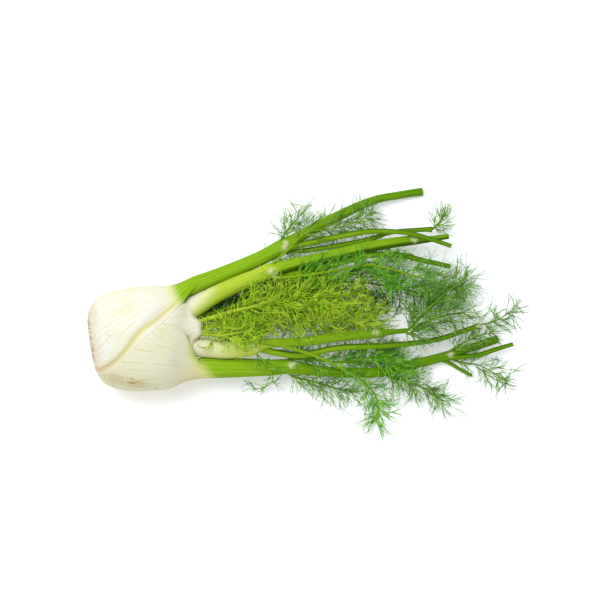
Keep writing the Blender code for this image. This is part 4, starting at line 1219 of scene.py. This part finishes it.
# Each tone has a painted light copy for the threads on top, its plain colour, and a painted shade copy
# for the threads deep in the frond.
THREADS = {
    "young": (
        thread_skin("young threads painted light", paint(212, 244, 72), paint(182, 232, 44)),
        thread_skin("young threads", paint(140, 206, 22), paint(106, 180, 16)),
        thread_skin("young threads painted shade", paint(48, 108, 8), paint(30, 80, 8)),
    ),
    "green": (
        thread_skin("green threads painted light", paint(154, 224, 74), paint(122, 204, 54)),
        thread_skin("green threads", paint(78, 162, 36), paint(56, 136, 30)),
        thread_skin("green threads painted shade", paint(30, 84, 22), paint(18, 60, 18)),
    ),
    "dark": (
        thread_skin("dark threads painted light", paint(158, 210, 92), paint(120, 182, 66)),
        thread_skin("dark threads", paint(64, 128, 38), paint(42, 98, 30)),
        thread_skin("dark threads painted shade", paint(16, 48, 18), paint(8, 34, 14)),
    ),
    # The under fronds lie beneath the others, so their whole palette is darkened as painted shade.
    "under": (
        thread_skin("under threads painted light", paint(92, 148, 30), paint(72, 128, 24)),
        thread_skin("under threads", paint(48, 98, 18), paint(36, 82, 16)),
        thread_skin("under threads painted shade", paint(24, 60, 14), paint(18, 48, 12)),
    ),
}
STEM_SKINS = {
    "young": leaf_skin("young stem skin", (0.0, 0.0), 0.01, deepen=(0.15, 0.30), dry=0.0, fresh=0.8),
    # The older frond stems are deeper green, and painted shade darkens their near side.
    "old": leaf_skin("frond stem skin", (0.0, 0.0), 0.01, deepen=(0.06, 0.16), dry=0.0, shade=0.4),
    "bright": leaf_skin("bright stem skin", (0.0, 0.0), 0.01, deepen=(0.22, 0.40), dry=0.0, buff=0.1),
}
BRIGHT_STEMS = ("frond_cross_over", "frond_low_long", "frond_low_small", "frond_middle_long")
# The threads' three materials, painted light, plain and painted shade: how far they follow the depth in
# the frond, and how much they mix.
SHADE_SPAN, SHADE_MIX = 2.6, 0.85


def stem_age(name, tone):
    if tone == "young":
        return "young"
    return "bright" if name in BRIGHT_STEMS else "old"


for number, (name, tone, rows, first, count, reach, thread, spread) in enumerate(FRONDS):
    draw = random.Random(100 + number)
    sizes = THREAD_SIZES[tone]
    strands = grow_frond(rows, first, count, reach, thread, spread, sizes, draw)
    if name in LOWER_LAYERS:
        more, drop, start = LOWER_LAYERS[name]
        below = [(x, y, max(2.0, z - drop), size) for x, y, z, size in rows]
        strands += grow_frond(below, start, more, reach, thread, spread * 0.5, sizes, draw)
    strands = keep_clear(strands)
    stem = stem_piece(name + "_stem", rows, 4.0, 12)
    stem.data.materials.append(STEM_SKINS[stem_age(name, tone)])
    # Painted light and shade: threads high in the frond get the painted light material, the deepest ones
    # the painted shade one.
    heights = [float(points[:, 2].mean()) for points, _ in strands]
    order = np.argsort(np.argsort(heights)) / len(heights)
    depths = [SHADE_SPAN - SHADE_SPAN * rank + draw.gauss(0, SHADE_MIX) for rank in order]
    shades = [int(np.clip(depth, 0, 2)) for depth in depths]
    piece = strands_piece(name + "_threads", strands, shades)
    piece.data.materials.clear()
    for shade in THREADS[tone]:
        piece.data.materials.append(shade)
    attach(piece, "root")
    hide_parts(name)


# The root plate
# The stub of the stem inside the ring of leaf bases, sliced off when the bulb was lifted. Its
# cut face dries to a rough cork, mottled tan and brown.

cork, tree, shader, place = skin("dry cut root", 0.8)
grain = noise(tree, place, 160.0, 5.0)
colour = blend(tree, ramp(tree, grain, 0.4, 0.65), paint(214, 188, 140), paint(160, 124, 78))
tree.links.new(colour, shader.inputs["Base Color"])
bump = put(tree, "Bump", Strength=0.8, Distance=0.001)
tree.links.new(grain, bump.inputs["Height"])
tree.links.new(bump.outputs[0], shader.inputs["Normal"])
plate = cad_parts["root_plate"]
plate.data.materials.clear()
plate.data.materials.append(cork)


# The table, the light and the camera
# A plain white table, a large soft light from the upper left and white light all round, and a
# long lens straight above.

# In metres: what the picture's width covers, at that height over the table.
VIEW_WIDTH, VIEW_HEIGHT = 0.540, 0.030
VIEW_CENTRE = (0.1404, 0.0342)
CAMERA_HEIGHT = 2.10
FILM_WIDTH = 36.0
TABLE_REACH = 1.6
TABLE_GLOW, ROOM_LIGHT = 0.26, 0.64
LAMP_PLACE, LAMP_AIM = (-0.30, 0.55, 1.35), (0.14, 0.0, 0.0)
LAMP_WIDTH, LAMP_POWER = 0.9, 14.0

table = bmesh.new()
bmesh.ops.create_grid(table, x_segments=1, y_segments=1, size=TABLE_REACH)
table_top = finished("table_top", table)
white = bpy.data.materials.new("white table")
white.use_nodes = True
finish = white.node_tree.nodes["Principled BSDF"].inputs
finish["Base Color"].default_value = (0.91, 0.91, 0.97, 1.0)
finish["Roughness"].default_value = 0.9
finish["Specular IOR Level"].default_value = 0.0
finish["Emission Color"].default_value = (1.0, 1.0, 1.0, 1.0)
finish["Emission Strength"].default_value = TABLE_GLOW
table_top.data.materials.append(white)

world = bpy.data.worlds.new("white room")
bpy.context.scene.world = world
world.use_nodes = True
world.node_tree.nodes["Background"].inputs["Color"].default_value = (1.0, 1.0, 1.0, 1.0)
world.node_tree.nodes["Background"].inputs["Strength"].default_value = ROOM_LIGHT

lamp = bpy.data.objects.new("window", bpy.data.lights.new("window", "AREA"))
lamp.data.shape = "DISK"
lamp.data.size = LAMP_WIDTH
lamp.data.energy = LAMP_POWER
lamp.location = LAMP_PLACE
aim = Vector(LAMP_AIM) - lamp.location
lamp.rotation_euler = aim.to_track_quat("-Z", "Y").to_euler()
bpy.context.scene.collection.objects.link(lamp)

camera = bpy.data.objects.new("camera", bpy.data.cameras.new("camera"))
camera.location = (*VIEW_CENTRE, CAMERA_HEIGHT)
camera.data.sensor_width = FILM_WIDTH
camera.data.lens = FILM_WIDTH * (CAMERA_HEIGHT - VIEW_HEIGHT) / VIEW_WIDTH
bpy.context.scene.collection.objects.link(camera)
bpy.context.scene.camera = camera
bpy.context.scene.view_settings.view_transform = "Standard"
